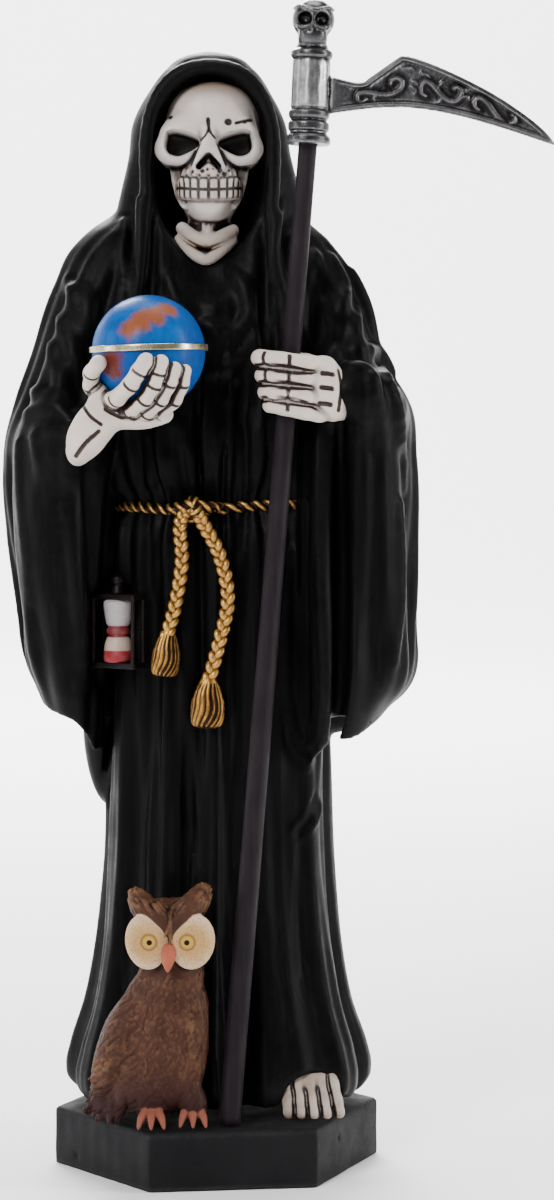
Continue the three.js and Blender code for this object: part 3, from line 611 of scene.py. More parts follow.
# %% Forearms, cloak tail, rim and hollows
for points, girths in (([at(-15.2, -2.5, 62.8), at(-15, -6.4, 62.8), at(-13.7, -9.3, 62.9)], [3.9, 3.4, 2.9]),
                       ([at(14.4, -2.5, 65), at(14.4, -7.4, 66.2), at(12.5, -10.1, 67.6)], [3.7, 3.3, 2.75])):
    robe_clay.add_path(points, np.array(girths) * PERCENT, 5, 8)
for place, radii in ((at(-10.3, 2.6, 37), [2.7, 2.8, 8.8]), (at(9.4, 1.6, 38.5), [6.4, 2.6, 3.4])):
    robe_clay.add(ball(place, np.array(radii) * PERCENT), 2)
for x, z, tilt in ((-10.2, 34.5, 12), (-9.4, 31.5, 14)):
    robe_clay.cut(ball(at(x, 0.2, z), np.array([0.35, 1.6, 3.4]) * PERCENT, tilt), 1)
rim = hood_rim_path()
rim_girth = PERCENT * (0.52 + 0.3 * np.sin(np.linspace(0, math.pi, len(rim))) ** 1.5)
robe_clay.add_path(rim, rim_girth, 2.2, 44, 0.6)
for x, y, z, radii, blend in ((0, -5.6, 88.6, [5.3, 7.6, 8.6], 1.6), (0.2, -5.6, 91.7, [5.15, 7.6, 5.6], 1.6),
                              (0, -8.4, 81.5, [4.6, 3.6, 5.6], 2.5)):
    robe_clay.cut(ball(at(HOOD_MIDDLE + x, y, z), np.array(radii) * PERCENT), blend)

# The staff side: a deep slot between the outer panel and the edge of the mouth
slot = [(31.5, 196), (31.8, 180), (31.9, 160), (32, 140), (31.6, 122), (30, 112)]
slot_path = front_path(robe_clay, slot, -1.5)
for deep in (0, 3, 6):
    girths = np.array([1.6, 2.6, 3, 3, 2.7, 1.4]) * (1 - deep * 0.05)
    robe_clay.cut_path(slot_path + np.array([0, deep, 0]), girths, 1.2, 12)
raise_folds(1.7, 1.5, 1.4, 18, [(26.2, 192), (26.1, 168), (27, 148), (27.8, 127), (27, 112.5)])
raise_folds(1.6, 1.2, 1.6, 22,
            [(19.2, 160), (17.9, 138), (18.4, 122), (21, 111.6), (24, 109.4), (26.8, 112.5), (28, 122)])
press_folds(2.2, 1.5, 1.4, 14, [(22.8, 172), (22.4, 150), (22.6, 132), (23.4, 118)])

# The globe side: the edge of the mouth and the dark slot between it and the body
press_folds(2.6, 2.2, 1.5, 16, [(-31.4, 196), (-31.2, 180), (-31, 160), (-30.6, 140), (-30, 126)])
raise_folds(1.8, 1.2, 1.8, 16, [(-36.2, 192), (-37, 178), (-35.9, 163), (-34.7, 148), (-32.9, 125)])
print("robe blocked in")

# %% [markdown]
# The last folds are drawn where the photograph shows them: the cloth bunched over the belt in a fan, the
# collar under the neck, and the creases that pull from the shoulders to the elbows. Each is a path that is dropped
# on the front of the clay and melted in, or pressed out of it.

# %% Folds drawn on the chest and waist
raise_folds(
    1.7, 0.75, 1.8, 9, [(-0.5, 199), (-2, 188), (-0.6, 176)], [(5.4, 202), (1.6, 194), (0.6, 183)],
    [(-18.4, 193), (-15.6, 185), (-16.6, 177)], [(-10.8, 194), (-7, 187), (-5.5, 177)],
    [(9.6, 195), (10.5, 187), (9.8, 176.5)], [(-25.2, 186), (-24.6, 175.5)], [(-22.4, 190), (-20.4, 178)],
    [(15, 192), (16.5, 178)], [(5.2, 190), (5.6, 177)], [(-12.2, 184), (-11, 176)])
raise_folds(
    1.5, 0.5, 1.8, 9, [(-24, 167), (-23.6, 150)], [(-18.6, 168), (-19.4, 154)], [(-13.4, 168), (-14.6, 150)],
    [(9.4, 167), (8.8, 148)], [(13.6, 168), (14.2, 152)], [(4.6, 168), (5.6, 158)])
raise_folds(
    1.7, 0.8, 2, 12, [(4.4, 231), (7.8, 226), (8.4, 219), (6.2, 214)], [(-0.8, 217), (3.8, 214.4), (8.8, 219.5)],
    [(-11.5, 229), (-8.5, 222), (-1, 216.5)], [(-14, 222), (-10, 214), (-2, 209)], [(10.2, 214), (4, 207), (-4, 205)])
raise_folds(
    1.3, 0.85, 1.5, 12, [(-19.2, 249), (-18.9, 236), (-19.6, 222)], [(16.9, 249), (14.8, 236), (15.2, 219)],
    [(-23.6, 244), (-23.4, 230), (-24.4, 217)], [(20.5, 240), (19.5, 226), (20.2, 213)])
press_folds(
    1.2, 0.8, 1, 12, [(-21.2, 250), (-21, 236), (-21.8, 220)], [(12.4, 236), (12.6, 224), (12.4, 212)],
    [(-15.6, 246), (-16, 232), (-16.8, 218)])
print("chest and waist drawn")

# %% Creases of the shoulders, elbows and hem
raise_folds(
    2, 0.85, 2, 12, [(-37.4, 229), (-35, 221), (-36, 213)], [(-39.4, 219), (-35.8, 210), (-33.6, 203)],
    [(-33, 226), (-32, 220), (-32.8, 214)], [(-41.5, 212), (-39.2, 205), (-38.8, 199)],
    [(-46, 200.4), (-40.5, 198.4), (-35.7, 198.6)], [(-47.4, 194.6), (-42.4, 195.6), (-37.6, 193.8)],
    [(-44.8, 189), (-42, 176), (-42.4, 160)], [(-49, 187), (-48, 170), (-46.4, 148)],
    [(-40.2, 184), (-40, 168), (-39, 150)], [(25.2, 235), (21.8, 226), (20.9, 216)],
    [(29.6, 234.5), (32.8, 226), (30.2, 216)], [(34.9, 231), (38.3, 222), (40.4, 212.5)],
    [(32.4, 209.8), (40.6, 210.6), (45.4, 206)], [(33.6, 206.4), (38.6, 204), (38.2, 192)],
    [(42.4, 206), (46.2, 193), (47.4, 176)], [(39.7, 203.3), (41.4, 190.7), (42, 168), (41.4, 138)],
    [(36.8, 198), (36.8, 176), (36.6, 150)], [(46.4, 172), (46.6, 150), (45.4, 132)],
    [(27.2, 222), (27.6, 215), (25.6, 209)], [(36, 221), (35.4, 214), (36.6, 208)])
raise_folds(1.1, 0.7, 1.2, 9, [(20, 88.6), (23, 91.5), (24.8, 96.5)], [(22.8, 87.4), (25.8, 91), (26.8, 95)])
press_folds(
    1.6, 0.8, 1.4, 12, [(21.6, 87.4), (24.4, 91.2), (25.8, 96.4)], [(22.4, 84), (22, 66), (22.8, 52)],
    [(-6.6, 112), (-6.8, 96), (-5.6, 80)], [(1.6, 60), (4.4, 44), (9.6, 28)])
print("folds drawn")

# %% Room for the staff, the globe and the hourglass
STAFF_FOOT = np.array([3.7, -30.5, 15.55])
GRIP = at(6.8, -10.6, 68.2)
STAFF_WAY = (GRIP - STAFF_FOOT) / np.linalg.norm(GRIP - STAFF_FOOT)
STAFF_TOP = STAFF_FOOT + STAFF_WAY * 256
GLOBE = at(-5.95, -12.4, 71.3)
GLOBE_RADIUS = 14.1
robe_clay.cut(bone(STAFF_FOOT, STAFF_TOP, 3.5, 3.1), 0.6)
robe_clay.cut(ball(GLOBE, GLOBE_RADIUS + 0.8), 1)
robe_clay.cut(ball(at(9.1, -8, 1.2), np.array([3, 3.6, 2.9]) * PERCENT), 1.2)
robe = finish_clay("robe", robe_clay, (1.5, 4))
PIECES = [(robe, ("figure",), "painted_resin")]

# %% [markdown]
# ## The skull
# The skull is plainly nobody's: a stock skull with slanted sockets, an inverted heart for the nose and square
# teeth. It is carved like a mask, broad and nearly flat in front, so its big form is a loft as the robe's are. All
# measures are millimetres from the skull's own middle line.

# %% Skull shapes
SKULL_X = HOOD_MIDDLE * PERCENT
skull_clay = Clay([-20, -22, 226], [17, 9, 283], 0.3)


def sk(x, y, z):
    return np.array([SKULL_X + x, y, z])


def face_loft(rows, power):
    """rows: height, half width, how far the front stands forwards and the back backwards, in millimetres."""
    table = []
    for z, half, front, back in rows:
        middle = SKULL_X + 0.8 * min(max((z - 263) / 8, 0), 1)
        table.append([(z - FIGURE_BASE) / PERCENT] + [v / PERCENT for v in (middle - half, middle + half, front, back)])
    return loft(table, power=power, top_blend=0.6)


MASK_ROWS = [(257.3, 9.9, 12.6, 7), (258.2, 11.4, 14.4, 8), (259.6, 12.9, 15.6, 8), (262.4, 13.7, 16.3, 8),
             (265.8, 13.3, 16.9, 9), (268.4, 12.8, 17.1, 9), (271.2, 12.4, 16.9, 9), (274.1, 11.5, 16.2, 8),
             (276.4, 10.2, 15, 6), (278.2, 8.2, 13.2, 4), (279.6, 4.4, 10.8, 2)]
JAW_ROWS = [(243.4, 1.6, 12.2, 3), (244.1, 3.8, 14.2, 4), (245.4, 5.5, 15.7, 5), (247.4, 6.9, 16.5, 5),
            (249.6, 7.9, 16.3, 5), (252.2, 8.7, 15, 5), (255.6, 9.3, 13, 5), (258.4, 9.7, 12.2, 5)]
skull_clay.add(face_loft(MASK_ROWS, 2.45), 0)
skull_clay.add(face_loft(JAW_ROWS, 2.25), 0.7)
skull_clay.add(ball(sk(0, -10.4, 256.6), (6.4, 6.8, 4.4)), 1.8)
for side in (-1, 1):
    skull_clay.add(ball(sk(side * 6.5, -12.9, 267.5), (5.7, 4.1, 3.3), side * 8), 3)
    skull_clay.add(ball(sk(side * 7.9, -12.4, 262.6), (6, 4, 4.9), side * 8), 2.2)
    skull_clay.cut(ball(sk(side * 13.4, -15, 270.6), (1.7, 3.4, 2.2), side * 20), 2)
    skull_clay.cut(ball(sk(side * 7.8, -16.2, 255.2), (1.6, 7.6, 2), -side * 14), 0.8)
    skull_clay.add_path([sk(side * 9.2, -7.6, 258.6), sk(side * 8.6, -8, 254), sk(side * 7.6, -9.2, 250.4),
                         sk(side * 6.4, -10.6, 248)], [1, 0.9, 0.8, 0.7], 1.6, 14)
    skull_clay.add_path([sk(0, -16.9, 265.2), sk(side, -17.9, 262.4), sk(side * 2.3, -17.3, 259.6),
                         sk(side * 3.3, -16.2, 257.4)], [1, 1, 0.95, 0.9], 1, 12)
skull_clay.add_path([sk(0, -16.2, 266.6), sk(0, -17.6, 263.6), sk(0, -18.1, 261.2)], [1.6, 1.3, 1], 1.2, 8)
print("skull grid", skull_clay.field.shape)

# %% [markdown]
# Sockets, nose and cracks are drawn first, as a sculptor scribes them on the clay. The same lines then guide the
# knife and, later, the dark paint, so that the paint sits exactly in the cuts.

# %% Sockets, nose and cracks
SOCKET = [(10.5, 266.1), (8.6, 266.5), (5.6, 265.8), (3.1, 264.8), (2.25, 263.7), (3.1, 262.3), (5.6, 260.9),
          (7.9, 260.2), (10.2, 261), (11, 262.9)]
NOSE_SLOT = [(0.25, 260.3), (1.35, 258.9), (2.45, 257.5)]
NOSE_GIRTHS = [0.42, 0.72, 0.78]
CRACKS = [([(-0.1, 269.4), (0, 267.9), (0.15, 266.7)], 0.34), ([(0.1, 266.8), (-0.7, 265.2), (-1.9, 264)], 0.26),
          ([(0.1, 266.8), (0.8, 265.5), (1.6, 264.6)], 0.26)]
for side in (-1, 1):
    CRACKS.append(([(side * 2.4, 262.8), (side * 3.3, 260.4), (side * 4.3, 258)], 0.3))
    CRACKS.append(([(side * 3.2, 261.2), (side * 4.5, 259), (side * 7, 257.5), (side * 10.4, 257.7)], 0.45))
CRACKS.append(([(6.9, 268.3), (8.7, 268.8), (10.8, 269.4)], 0.3))
CHIPS = [(-9.75, 270.1, 0.66), (5, 268.6, 0.95), (9, 268.7, 0.5), (-1.6, 256.3, 0.55), (-0.3, 256.7, 0.42),
         (1.1, 256.8, 0.3), (2.9, 256.4, 0.6), (3.9, 255.6, 0.62), (-4.1, 256.2, 0.45), (5.2, 256.6, 0.4),
         (-5.6, 255.4, 0.35)]


def scribed(line, girth):
    """A drawn line as a flat shape seen from the front: its distance at x and z."""
    flat = path_shape([(SKULL_X + x, 0, z) for x, z in line], girth, 3 * len(line), 0)[2]
    return lambda x, z: flat(x, 0 * x, z)


def socket_edge(x, z):
    """Distance to the nearer socket's outline, negative inside."""
    x, line = np.abs(x - SKULL_X), smooth_path(SOCKET + SOCKET[:1], 44)
    away, _ = distance_to_line(x, z, line)
    return np.where(inside_line(x, z, line), -away, away)


def from_front(flat, low, high, floor, round_edge):
    """A hole with a drawn outline, cut back from the front to a floor."""
    def distance(x, y, z):
        return carve(flat(x + 0 * z, z + 0 * x), floor - y, round_edge)
    return sk(low[0], -24, low[1]), sk(high[0], floor, high[1]), distance


skull_clay.cut(from_front(socket_edge, (-12, 259), (12, 268), -8.6, 2), 0.9)
for side in (-1, 1):
    nose = scribed([(side * x, z) for x, z in NOSE_SLOT], NOSE_GIRTHS)
    skull_clay.cut(from_front(nose, (-4, 256), (4, 262), -13.6, 1), 0.4)
print("sockets and nose cut")

# %% [markdown]
# The teeth are one smooth band, scored into blocks. The band follows an arch, and both the bite and the rows rise a
# little towards the back, like a grin.

# %% The band of teeth
TOOTH_WIDTHS = [2.7, 2.4, 2.1, 2.2, 1.9, 1.9]
GRIN = 0.012


def arch(along, out):
    """A point on the tooth arch, at a distance along it from the middle."""
    angle = along / 8.6
    x = (8.5 + out) * math.sin(angle)
    return x, -9.4 - (8 + out) * math.cos(angle)


def tooth_band(x, y, z):
    x = x - SKULL_X
    ring = (np.sqrt((x / 8.5) ** 2 + ((y + 9.4) / 8) ** 2) - 1) * 8.1
    level = z - GRIN * x ** 2
    return carve(np.maximum(ring, y + 6), np.minimum(254.3 - level, level - 248.9), 1.2)


skull_clay.add((sk(-10, -18.5, 247), sk(10, -6, 257), tooth_band), 0.5)

# %% Score the teeth
tooth_cuts = []
for side in (-1, 1):
    along = 0
    for width in [0] + TOOTH_WIDTHS:
        along += width
        x, y = arch(side * along, 0)
        lift = GRIN * x * x
        for low, high in ((252, 254.6), (248.7, 251.2)):
            line = [sk(x, y, low + lift), sk(x, y, high + lift)]
            skull_clay.cut(bone(line[0], line[1], 0.3), 0.25)
            tooth_cuts.append(line)
for level, girth in ((251.6, 0.27), (254.5, 0.2), (248.6, 0.16)):
    line = []
    for along in np.linspace(-12.5, 12.5, 19):
        x, y = arch(along, 0)
        line.append(sk(x, y, level + GRIN * x * x))
    skull_clay.cut_path(line, girth, 0.25)
    tooth_cuts.append(line)
for side in (-1, 1):
    along = 1.3
    for width in TOOTH_WIDTHS[:4]:
        x, y = arch(side * along, -0.6)
        skull_clay.add(bone(sk(x, y, 254.6), sk(x * 0.97, y + 0.5, 256.4), 0.75, 0.4), 0.9)
        along += width
skull_clay.cut(ball(sk(0, -18, 246.9), (2.6, 1.5, 0.9)), 1.2)
for line, girth in CRACKS:
    x, z = smooth_path(line, 9).T
    skull_clay.cut_path(front_path(skull_clay, np.stack([SKULL_X + x, z], 1), 0.1), girth, 0.35)
for x, z, r in CHIPS:
    y = float(skull_clay.front(SKULL_X + x, z)[0])
    skull_clay.cut(ball(sk(x, y, z), (r, r * 0.8, r * 0.8)), 0.3)
print(len(tooth_cuts), "lines scored for the teeth")

# %% [markdown]
# Below the jaw the neck shows as a pale column with two bands in a V, over a dark core, like the front of the
# neck's bones and the inner ends of the collar bones. The core's darkness is painted shade under the jaw, given with
# the skull's masks.

# %% Neck
skull_clay.add(bone(sk(0, -4.6, 229), sk(0, -3.6, 246), 7.4, 5.6), 1)
NECK_BANDS = [([sk(*point) for point in line], girth) for line, girth in (
    ([(-6.9, -8.4, 242.4), (-4.2, -11.6, 240.2), (-0.6, -12.9, 238.8), (3, -11.8, 240), (6, -8.6, 241.8)], 1.7),
    ([(-7.6, -9.2, 239.4), (-4.6, -12.4, 236.2), (-0.8, -13.6, 234.2), (2.6, -12.4, 236.2), (5.8, -9, 239.2)], 1.5),
    ([(-0.2, -10.4, 243.6), (-0.4, -11.9, 241), (-0.6, -12.6, 239)], 1.5),
)]
for path, girth in NECK_BANDS:
    skull_clay.add_path(path, girth, 0.9, 16)
skull_clay.cut(ball(sk(-0.8, -14.6, 236.6), (0.8, 1, 1.2)), 0.5)
print("skull and neck carved")

# %% [markdown]
# Before the skull is turned into a mesh, every vertex learns how dark its paint is. Dark paint fills the sockets,
# the nose and the scribed lines. All that lies behind the jaw is painted dark as the shade under the hood, and the
# neck round its bands as the shade under the jaw. A brown stain lies round the teeth and the cheeks, partly painted
# shade in the cheek hollows; a painted shadow of the hood lies across the top of the forehead, and the neck below
# the jaw is a little darker as painted shade.

# %% Skull masks
def skull_masks(points):
    x, y, z = points.T
    facing = ease(y, -6.5, -8.5)
    dark = ease(socket_edge(x, z), 0.1, -0.3) * facing
    for side in (-1, 1):
        nose = scribed([(side * u, v) for u, v in NOSE_SLOT], NOSE_GIRTHS)
        dark = np.maximum(dark, ease(nose(x, z), 0.12, -0.15) * facing)
    for line, girth in CRACKS:
        dark = np.maximum(dark, 0.93 * ease(scribed(line, girth)(x, z), 0.14, -0.12) * facing)
    for u, v, r in CHIPS:
        dark = np.maximum(dark, 0.95 * ease(np.hypot(x - SKULL_X - u, z - v), r * 1.15, r * 0.75) * facing)
    near = y < -8
    scored = np.full(len(points), 9.0)
    scored[near] = np.min([path_shape(line, 0.16, 0, 0)[2](*points[near].T) for line in tooth_cuts], 0)
    dark = np.maximum(dark, 0.92 * ease(scored, 0.42, 0.08))
    bands = np.min([path_shape(path, girth + 0.2, 16, 0.2)[2](x, y, z) for path, girth in NECK_BANDS], 0)
    # Painted shade under the jaw, round the neck bands.
    below_jaw = ease(z, 244.6, 243.2) * ease(bands, -0.1, 0.7)
    # Painted shade on all that lies deep behind the jaw, inside the hood.
    hood_shade = ease(y, -7.2, -4.6) * ease(z, 266, 262)
    dark = np.maximum(dark, np.maximum(below_jaw, hood_shade))
    across = np.abs(x - SKULL_X)
    # Brown stain round the teeth, partly painted shade in the cheek hollows.
    round_teeth = ease(z, 258.5, 256.2) * ease(z, 247.6, 250) * ease(across, 4.2, 8.8)
    # Painted shadow of the hood across the top of the forehead.
    hood_shadow = ease(z, 273.5, 279) * 0.7
    # The neck a little darker below the jaw, as painted shade.
    neck = ease(z, 244, 241) * 0.35
    blotch = 0.5 + 0.5 * np.sin(1.9 * x + 1.3 * np.sin(2.3 * z)) * np.sin(2.2 * z + 0.8 * np.sin(1.7 * x))
    lips = ease(z, 258.8, 257) * ease(z, 247.2, 249) * ease(y, -7, -9)
    stain = np.maximum(round_teeth * (0.12 + 0.3 * blotch), 0.26 * blotch * lips)
    return {"dark": dark, "stain": np.maximum(stain, np.maximum(hood_shadow, neck))}


skull = finish_clay("skull", skull_clay, (0.6, 1.6), masks=skull_masks)
PIECES.append((skull, ("figure",), "painted_resin"))

# %% [markdown]
# ## Hands and foot
# Both hands are bones, but sculpted as plump, smooth fingers. Every finger is a chain of joints: the chain is thick
# at the knuckles and slimmer between them. The globe hand's joints lie on a ball a little bigger than the globe, so
# its fingers hug it; the fist's lie across the staff and curl behind it.

# %% Fingers
def finger(clay, joints, girth, blend=0.5, waist=0.86):
    """A chain with knuckles: each stretch narrows in its middle."""
    joints = np.array(joints, float)
    points, girths = [], []
    for i, joint in enumerate(joints):
        taper = girth * (1 - 0.1 * i / (len(joints) - 1))
        points.append(joint)
        girths.append(taper)
        if i < len(joints) - 1:
            points.append((joint + joints[i + 1]) / 2)
            girths.append(taper * waist)
    clay.add_path(points, girths, blend, 4 * len(points), 0.3)


def knuckle_lines(clay, joints, girth, faces, depth=0.3):
    """The thin creases across a finger at its joints, cut only on the side that faces the viewer."""
    joints = np.array(joints, float)
    for i in range(1, len(joints) - 1):
        along = joints[i + 1] - joints[i - 1]
        along /= np.linalg.norm(along)
        across = np.cross(along, faces)
        across /= np.linalg.norm(across)
        outer = np.cross(across, along)
        arc = [joints[i] + girth * (math.sin(t) * across + math.cos(t) * outer) for t in np.linspace(-1.15, 1.15, 7)]
        clay.cut_path(arc, depth, 0.35)


def on_globe(x, y, z, away):
    """A point in a direction from the globe's middle, at a distance from its surface."""
    way = np.array([x, y, z], float)
    return GLOBE + way / np.linalg.norm(way) * (GLOBE_RADIUS + away)


def scored(clay, *marks):
    """Lines drawn on the front of the clay with a narrow tool; each mark is a girth and its line."""
    for girth, line in marks:
        clay.cut_path(front_path(clay, smooth_path(line, 3 * len(line) + 3), 0.1), girth, 0.3)


# %% The hand that holds up the globe
palm_clay = Clay([-42, -54, 178], [-1, -20, 215], 0.33)
GLOBE_FINGERS = [
    (2.3, [(-12.6, -0.5, -13.7), (-7.3, -9.1, -11.5), (-3.6, -13.7, -8.2), (-1.6, -15.5, -5.2), (0.1, -16.1, -2.7)]),
    (2.1, [(-9, -0.3, -16.4), (-4.3, -6.6, -14.9), (-0.5, -11.3, -11.9), (1.9, -14, -8.5), (2.9, -15.2, -5.6),
           (3.7, -15.8, -3)]),
    (1.95, [(-5.4, 0, -16.9), (-0.2, -6.6, -14.9), (3.3, -10.4, -12.4), (5.7, -13.1, -8.4), (7, -14.3, -4.6)]),
    (1.75, [(-2.2, 0.2, -17.1), (3, -4.4, -15.7), (6.9, -8.1, -12.7), (9, -11, -8.6), (9.9, -12.8, -5.2)]),
    (2.2, [(-14.4, -0.2, -12.6), (-15.6, -3.2, -9.4), (-14.2, -8, -5.6), (-12, -11.6, -3.2)]),
]
FOREARM = [(-26.6, -36.8, 195), (-29.6, -37, 191.6), (-31.8, -36, 188.3), (-33.4, -33.6, 185.6), (-35, -28, 185)]
palm_clay.add_path(FOREARM, [4.9, 5.1, 4.8, 3.3, 3.6], 1, 16)
palm = [FOREARM[0], on_globe(-6.5, -3, -16.5, 2.9), on_globe(-1, -3.5, -17, 2.5), on_globe(4, -3.5, -16, 2.2)]
palm_clay.add_path(palm, [4.7, 3.6, 2.9, 2.4], 1, 12)
palm_clay.add(ball(on_globe(-13, -3, -12, 2.4), (2.6, 3.4, 4), 20), 1.2)
chains = [(girth, [on_globe(*joint, girth + 0.35) for joint in joints]) for girth, joints in GLOBE_FINGERS]
for girth, chain in chains:
    finger(palm_clay, chain, girth, 0.55)
for girth, chain in chains:
    knuckle_lines(palm_clay, chain, girth, np.array([0.1, -1, -0.35]))
scored(palm_clay, (0.28, [(-32.2, 196.4), (-30.2, 193.8), (-27.6, 191.8)]),
       (0.38, [(-34.2, 183.9), (-31.4, 187.4), (-28.2, 190.2)]),
       (0.3, [(-26.6, 195.6), (-23.2, 193.8), (-19.6, 193.6)]))
palm_clay.cut(ball(GLOBE, GLOBE_RADIUS + 0.3), 0.2)
print("globe hand carved")

# %% The fist round the staff
def by_staff(x, y, z):
    """A point beside the staff's middle line at a height in millimetres."""
    return STAFF_FOOT + STAFF_WAY * ((z - STAFF_FOOT[2]) / STAFF_WAY[2]) + np.array([x, y, 0])


fist_clay = Clay([6, -41, 188], [42, -16, 216], 0.33)
FIST_ROWS = [(208.6, 0, 2.2, 0.13), (204.3, 1.3, 2.2, 0.08), (200.1, 2.3, 2.15, 0.09), (196.7, 3.6, 1.9, 0.14)]
for level, shorter, girth, fall in FIST_ROWS:
    reach = 2.8 + girth
    chain = [by_staff(9.2 - shorter * 0.2, -2.9, level - 17 * fall), by_staff(4.3, -reach * 0.98, level - 12 * fall),
             by_staff(-2.6 + shorter * 0.5, -reach * 1.02, level - 5 * fall),
             by_staff(-7.6 + shorter, -reach * 0.62, level), by_staff(-8 + shorter, 0.8, level)]
    finger(fist_clay, chain, girth, 0.4, 0.93)
fist_clay.add(ball(by_staff(9.8, -1.6, 200.9), (5.3, 5.3, 8.4), -16), 1.3)
fist_clay.add(ball(by_staff(12.2, 1.4, 199.8), (4.3, 4.8, 6.9), -14), 1.6)
fist_clay.add_path([by_staff(10, 3.5, 205), by_staff(3, 5, 207.6), by_staff(-4.5, 4.4, 207.2)], [2.8, 2.5, 2.1], 1, 8)
fist_clay.cut(ball(by_staff(17, -2, 211), (6, 9, 4.6), -28), 1.6)
for (upper, shorter, _, fall), (lower, *_) in zip(FIST_ROWS, FIST_ROWS[1:]):
    level = (upper + lower) / 2
    gap = [by_staff(-8.4 + shorter, -3.4, level), by_staff(-4.4, -6.6, level - 3 * fall),
           by_staff(0.6, -6.9, level - 8 * fall), by_staff(5.2, -6.4, level - 13 * fall)]
    fist_clay.cut_path(gap, [0.6, 1, 1.1, 0.3], 0.5, 12)
    x, _, z = by_staff(9.4, 0, level - 15 * fall)
    scored(fist_clay, (0.45, [(x - 1.2, z + 0.1), (x, z), (x + 1.4, z - 0.2)]))
scored(fist_clay, (0.34, [(18.9, 210.2), (18.6, 203.5), (18.2, 195.4)]),
       (0.26, [(12.7, 210), (12.2, 208.4), (12.6, 206.8)]),
       (0.24, [(12.9, 205.6), (12.7, 204.2), (12.9, 202.8)]), (0.34, [(31, 205.4), (31.6, 201), (31, 195.4)]))
fist_clay.cut(bone(by_staff(0, 0, 180), by_staff(0, 0, 220), 2.85), 0.2)
print("fist carved")

# %% The bare foot
foot_clay = Clay([10, -31, 14], [40, -8, 34], 0.33)
for i in range(5):
    spread = i / 4 - 0.5
    heel = np.array([23.6 + 9.5 * spread, -14.5, 27.6 - 0.8 * abs(spread)])
    knuckle = np.array([24 + 12 * spread, -20.4, 24.6 - 1.2 * abs(spread)])
    joint = np.array([24.8 + 12.4 * spread, -23.8 + 2 * spread ** 2, 20])
    tip = np.array([25.2 + 12.8 * spread, -25.4 + 4 * spread ** 2, 17.1])
    finger(foot_clay, [heel, knuckle, joint, tip], 1.62 - 0.12 * spread, 0.25, 0.84)
foot_clay.add(ball((23.8, -14.5, 22.5), (8.2, 8.2, 6.2)), 0.6)
print("foot carved")
for name, clay in (("globe_hand", palm_clay), ("fist", fist_clay), ("foot", foot_clay)):
    PIECES.append((finish_clay(name, clay, (0.6, 1.5)), ("figure",), "painted_resin"))

# %% [markdown]
# ## The rope
# The belt is a cord of two strands laid round each other, cast on the robe. A tube swept along the waist gives it,
# if its section is two circles side by side and that section turns as it goes. The tails are plaited from three
# strands, and each ends in a tassel: a turned bell that is scored into threads.

# %% A laid cord
def ring_faces(rows, sides, closed=False):
    """Quads between rows of points that stand in rings."""
    i, j = np.meshgrid(np.arange(rows if closed else rows - 1), np.arange(sides), indexing="ij")
    k, n = (i + 1) % rows, (j + 1) % sides
    return np.stack([i * sides + j, i * sides + n, k * sides + n, k * sides + j], -1).reshape(-1, 4)


def swept(path, rings, sides, radius_at, closed=False):
    """Ring after ring of points round a path; radius_at(share, angle) gives the section."""
    path = smooth_path(path, rings)
    if closed:
        path = path[:-1]
        tangent = np.roll(path, -1, 0) - np.roll(path, 1, 0)
    else:
        tangent = np.gradient(path, axis=0)
    tangent /= np.linalg.norm(tangent, axis=1)[:, None]
    side = np.empty_like(path)
    side[0] = np.cross(tangent[0], (0, 1, 0.01))
    for i in range(1, len(path)):
        side[i] = side[i - 1] - tangent[i] * (side[i - 1] @ tangent[i])
        side[i] /= np.linalg.norm(side[i])
    side[0] /= np.linalg.norm(side[0])
    rise = np.cross(tangent, side)
    angle = np.arange(sides) / sides * 2 * math.pi
    radius = radius_at(np.arange(len(path))[:, None] / len(path), angle[None, :])
    ring = side[:, None] * np.cos(angle)[None, :, None] + rise[:, None] * np.sin(angle)[None, :, None]
    points = (path[:, None] + ring * radius[..., None]).reshape(-1, 3)
    return points, ring_faces(len(path), sides, closed), radius.ravel()


def strands(radius, angle, turns, share):
    """The outline of two strands laid side by side, turning along the cord."""
    phase = angle - turns * 2 * math.pi * share
    size, off = 0.6, 0.42
    lobe = off * np.abs(np.cos(phase)) + np.sqrt(np.maximum(size ** 2 - (off * np.sin(phase)) ** 2, 0.02))
    thread = 0.02 * np.cos(14 * angle + 3 * turns * 2 * math.pi * share)
    return radius * (lobe + thread)


def cap_ends(points, faces, sides, turned=1):
    """A tube as triangles, with a fan over each end."""
    count, j = len(points), np.arange(sides)
    n = (j + 1) % sides
    start = np.stack([np.full(sides, count), n, j], 1)[:, ::turned]
    end = np.stack([np.full(sides, count + 1), count - sides + j, count - sides + n], 1)[:, ::turned]
    points = np.vstack([points, points[:sides].mean(0), points[-sides:].mean(0)])
    return points, np.vstack([faces[:, [0, 1, 2]], faces[:, [0, 2, 3]], start, end])

# %% The belt
BELT_HEIGHT = 57.4
BELT_GIRTH = 1.45
STRAND_GIRTH = 0.92


def belt_path():
    points = []
    for angle in np.linspace(0, 2 * math.pi, 65):
        c, s = math.cos(angle), math.sin(angle)
        power = 2 / 2.3
        half, depth = 9.85, (6.3 if s < 0 else 6.9)
        x, y = half * np.sign(c) * abs(c) ** power, depth * np.sign(s) * abs(s) ** power
        sag = -0.45 * math.exp(-((x + 2.3) / 4) ** 2) if s < 0 else 0
        points.append(at(x + 0.15, y, BELT_HEIGHT + sag + 0.25 * math.sin(angle + 0.6)))
    return points


def rope_masks(piece, radius, girth):
    hollow = 1.1 * ease(radius, girth * 0.95, girth * 0.55)
    keep_masks(piece, hollow=hollow, crest=ease(radius, girth * 0.85, girth * 1.02))
    print(piece.name, len(radius), "vertices")
    return piece


points, faces, radius = swept(belt_path(), 521, 20, lambda share, angle: strands(BELT_GIRTH, angle, 26, share),
                              closed=True)
rope_pieces = [rope_masks(mesh_object("belt_rope", points, faces), radius, BELT_GIRTH)]

# %% [markdown]
# The knot and the tails hang in front of the skirt. In a plait each strand swings from side to side once while it
# goes in and out twice, and the three are a third of a swing apart.

